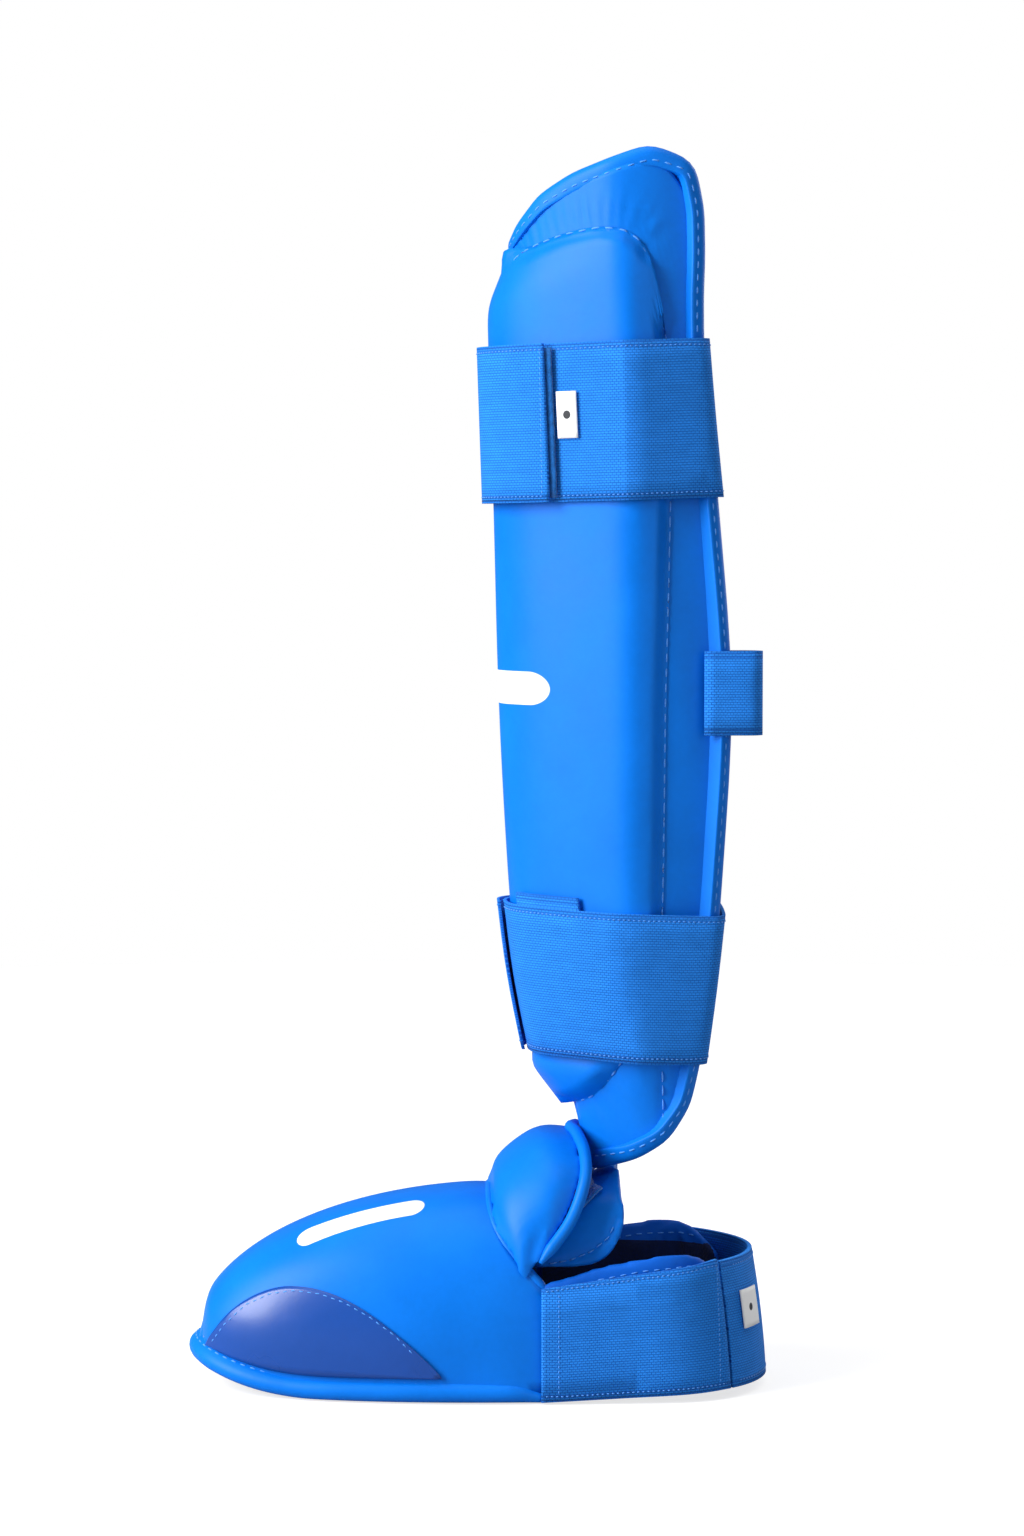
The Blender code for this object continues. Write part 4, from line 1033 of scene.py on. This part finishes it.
def make_foot():
    shape = tuck_under_strap(node_tree("foot_edge_binding"))
    upper = piece("foot_upper", "foot_skin", "foot_print", shape=shape)
    piece("foot_foam", "foot_padding", "foam", 1, shape=stop_short)
    seam_welt(upper)
    piece("foot_lining", "foot_lining_cloth", "lining", 1)
    for side in ("lateral", "medial"):
        patch = piece("toe_patch_" + side, side + "_toe_patch", "dark")
        settle_patch(patch, tree_of(upper))
        sew_toe_patch(side, "toe_patch_" + side)
    band("arch_elastic", "arch_band", (0.0, 0.0))
    band("toe_elastic", "toe_band", (0.0, 0.0))
    path = tube_path("foot_edge_binding", BINDING_RADIUS)
    if path[0, 1] > 0:
        path = path[::-1]
    tails = [path[0] + np.array([dx, 0.0, 0.0]) for dx in (9.0, 4.5)]
    ends = [path[-1] + np.array([dx, 0.0, 0.0]) for dx in (4.5, 9.0)]
    path = rounded(np.concatenate([tails, path, ends]), 1.6)
    taper = smooth((24.0 - path[:, 0]) / 14.0)
    radius = BINDING_RADIUS * (0.45 + 0.55 * taper)
    path[:, 2] -= BINDING_RADIUS - radius
    flat = unit(path * np.array([1.0, 1.0, 0.0]) - np.array([-20.0, 0.0, 0.0]))
    up = unit(np.array([0.0, 0.0, 1.0]) + flat * 0.75)
    inward = np.array([0.0, 0.0, 1.0]) - flat * 0.8
    profile = np.array([np.array(binding_profile(1.0, 1.1, 0.6)) * r for r in radius])
    binding, into, out = swept("foot_rim_binding", path, up, inward, profile, False)
    dress(binding, "foot_edge_binding", "binding")
    keep = path[:, 0] < 20.0
    line = (path + into * 0.42 * radius[:, None] + out * 0.98 * radius[:, None])[keep]
    sew("foot_binding_stitching", "foot_edge_binding", line, out[keep], pitch=3.8, length=2.6, radius=0.26)


def make_ankle():
    piping_path = tube_path("instep_flap_piping", CORD_RADIUS)
    if piping_path[0, 1] > 0:
        piping_path = piping_path[::-1]
    flap_nodes = ["instep_flap_cover", "instep_flap_padding"]
    to_cord = pull_rim(node_tree("instep_flap_piping"), 3.2, 1.2)
    reach = both_shapes(to_cord, pull_rim(node_tree("foot_upper"), 5.0, 2.0))
    flap = inflated("instep_flap", flap_nodes, 1.2, 2.2, shrink=0.3, shape=reach)
    dress(flap, flap_nodes, "skin", "lining")
    path = rounded(piping_path, 1.2)
    profile = round_profile(ROLL_RADIUS * np.minimum(1.0, 0.35 + from_ends(path) / 9.0))
    middle = path.mean(axis=0)
    roll, _, _ = swept("flap_rim_roll", path, path - middle, middle - path, profile, False)
    dress(roll, "instep_flap_piping", "skin")
    tongue_nodes = ["ankle_tongue_cover", "ankle_tongue_padding"]
    tongue = inflated("ankle_tongue", tongue_nodes, 1.2, 2.4, shrink=0.3)
    dress(tongue, tongue_nodes, "skin", "lining")
    piece("tongue_loop_patch", "tongue_loop_pile", "loop")
    skin = tree_of(tongue)
    outline = [(23.0, 44.6), (31.0, 46.4), (38.0, 49.4), (43.6, 54.0), (46.4, 60.0)]
    sizes = {"pitch": 3.4, "length": 2.3, "radius": 0.24}
    for side, way in (("lateral", -1), ("medial", 1)):
        row, facing = side_line(skin, outline, way)
        press(tongue, row, 0.5, 1.2)
        sew(side + "_tongue_stitching", "ankle_tongue_cover", row, facing, **sizes)


def inner_face(centre, facing):
    """Faces of a heel wing that look towards the foot, under the roll of its collar."""
    reach = unit((centre - np.array([*HEEL_CENTRE, 0.0])) * np.array([1.0, 1.0, 0.0]))
    return ((facing * reach).sum(axis=1) < -0.2) & (centre[:, 2] < 42.0)


def sew_collar(side, node, wing):
    """Stitch row under the roll of a heel wing's collar, on its outer and its inner face."""
    way = -1 if side == "lateral" else 1
    outline = [(24.0, 36.4), (40.0, 41.0), (55.0, 43.8), (70.0, 45.0), (80.0, 43.6), (86.0, 39.6)]
    flat = resampled(outline, 0.8)
    tree = tree_of(wing)
    for name, start, aim in (("outer", BESIDE * way, -way), ("inner", 12.0 * way, way)):
        starts = np.stack([flat[:, 0], np.full(len(flat), start), flat[:, 1]], axis=-1)
        line, facing = cast(tree, starts, np.tile([0.0, aim, 0.0], (len(flat), 1)))
        if len(line) > 12:
            sew(side + "_collar_stitching_" + name, node, line, facing, pitch=3.8, length=2.6, radius=0.24)


def make_heel():
    for side in ("lateral", "medial"):
        node = "heel_wing_" + side
        wing = inflated(side + "_heel_wing", [node], 1.4, 1.8, shrink=0.4)
        dress(wing, node, "wing", "lining")
        paint_faces(wing, 1, inner_face)
        sew_collar(side, node, wing)
    girth = band("heel_strap_band", "heel_elastic", HEEL_CENTRE, 180.0)
    end_girth = band("heel_strap_tab", "heel_strap_end", HEEL_CENTRE, 180.0)
    sew_edges("heel_strap", "heel_strap_band", girth, (-44, 120))
    sew_edges("heel_end", "heel_strap_tab", end_girth, (-130, -53))
    sew_end("heel_end_front_stitching", "heel_strap_tab", end_girth, -126)
    sew_end("heel_end_rear_stitching", "heel_strap_tab", end_girth, -56)
    piece("heel_loop_patch", "heel_loop_pile", "loop")
    piece("heel_hook_patch", "heel_hook_tape", "hook")
    make_label("heel_size_label", "heel_label")


# ---------------------------------------------------------------- studio


def make_backdrop():
    """A round sheet of white paper, lit from above, on a white surround."""
    sides = 96
    turn = np.arange(sides) * 2 * math.pi / sides
    points = np.column_stack([1.3 * np.cos(turn), 1.3 * np.sin(turn), np.zeros(sides)])
    mesh = bpy.data.meshes.new("studio_floor")
    mesh.from_pydata(points.tolist(), [], [tuple(range(sides))])
    floor = linked("studio_floor", mesh)
    floor.location.z = -0.0004
    shader = Shader("studio_paper", (0.42, 0.42, 0.425), 0.9, specular_ior_level=0.05)
    shader.surface.inputs["Emission Color"].default_value = (1, 1, 1, 1)
    seen = shader.add("ShaderNodeLightPath").outputs["Is Camera Ray"]
    glow = shader.math("MULTIPLY", seen, FLOOR_GLOW)
    shader.tree.links.new(glow, shader.surface.inputs["Emission Strength"])
    floor.data.materials.append(shader.material)


def make_light(name, place, aim, size, power):
    data = bpy.data.lights.new(name, "AREA")
    data.shape = "RECTANGLE"
    data.size, data.size_y = size
    data.energy = power
    light = linked(name, data)
    light.location = place
    light.rotation_euler = (Vector(aim) - Vector(place)).to_track_quat("-Z", "Y").to_euler()


def make_studio():
    make_backdrop()
    middle = (0.0, 0.0, 0.2)
    make_light("key_light", (-1.5, -0.75, 0.9), middle, (1.0, 1.4), 62)
    make_light("fill_light", (1.1, -1.5, 0.8), middle, (1.2, 1.2), 6.0)
    make_light("top_light", (0.0, 0.0, 1.9), middle, (1.6, 1.6), 15)
    make_light("back_light", (1.3, 1.2, 0.9), middle, (0.8, 1.4), 12)
    world = bpy.data.worlds.new("studio_world")
    world.use_nodes = True
    tree = world.node_tree
    seen = tree.nodes.new("ShaderNodeLightPath").outputs["Is Camera Ray"]
    mix = tree.nodes.new("ShaderNodeMixShader")
    dim = tree.nodes["Background"]
    white = tree.nodes.new("ShaderNodeBackground")
    dim.inputs["Color"].default_value = (1, 1, 1, 1)
    dim.inputs["Strength"].default_value = 0.14
    white.inputs["Color"].default_value = (1, 1, 1, 1)
    white.inputs["Strength"].default_value = 1.0
    tree.links.new(seen, mix.inputs[0])
    tree.links.new(dim.outputs[0], mix.inputs[1])
    tree.links.new(white.outputs[0], mix.inputs[2])
    tree.links.new(mix.outputs[0], tree.nodes["World Output"].inputs["Surface"])
    bpy.context.scene.world = world
    bpy.context.scene.view_settings.view_transform = "Standard"


def make_camera():
    data = bpy.data.cameras.new("camera")
    data.lens = 97.9
    data.sensor_width = 36.0
    data.clip_start = 0.05
    data.clip_end = 20.0
    camera = linked("camera", data)
    camera.location = (0.0112, -1.420, 0.3015)
    camera.rotation_euler = (math.radians(90 - 3.69), 0, 0)
    bpy.context.scene.camera = camera


make_camera()
make_studio()
make_shin()
make_straps()
make_foot()
make_ankle()
make_heel()
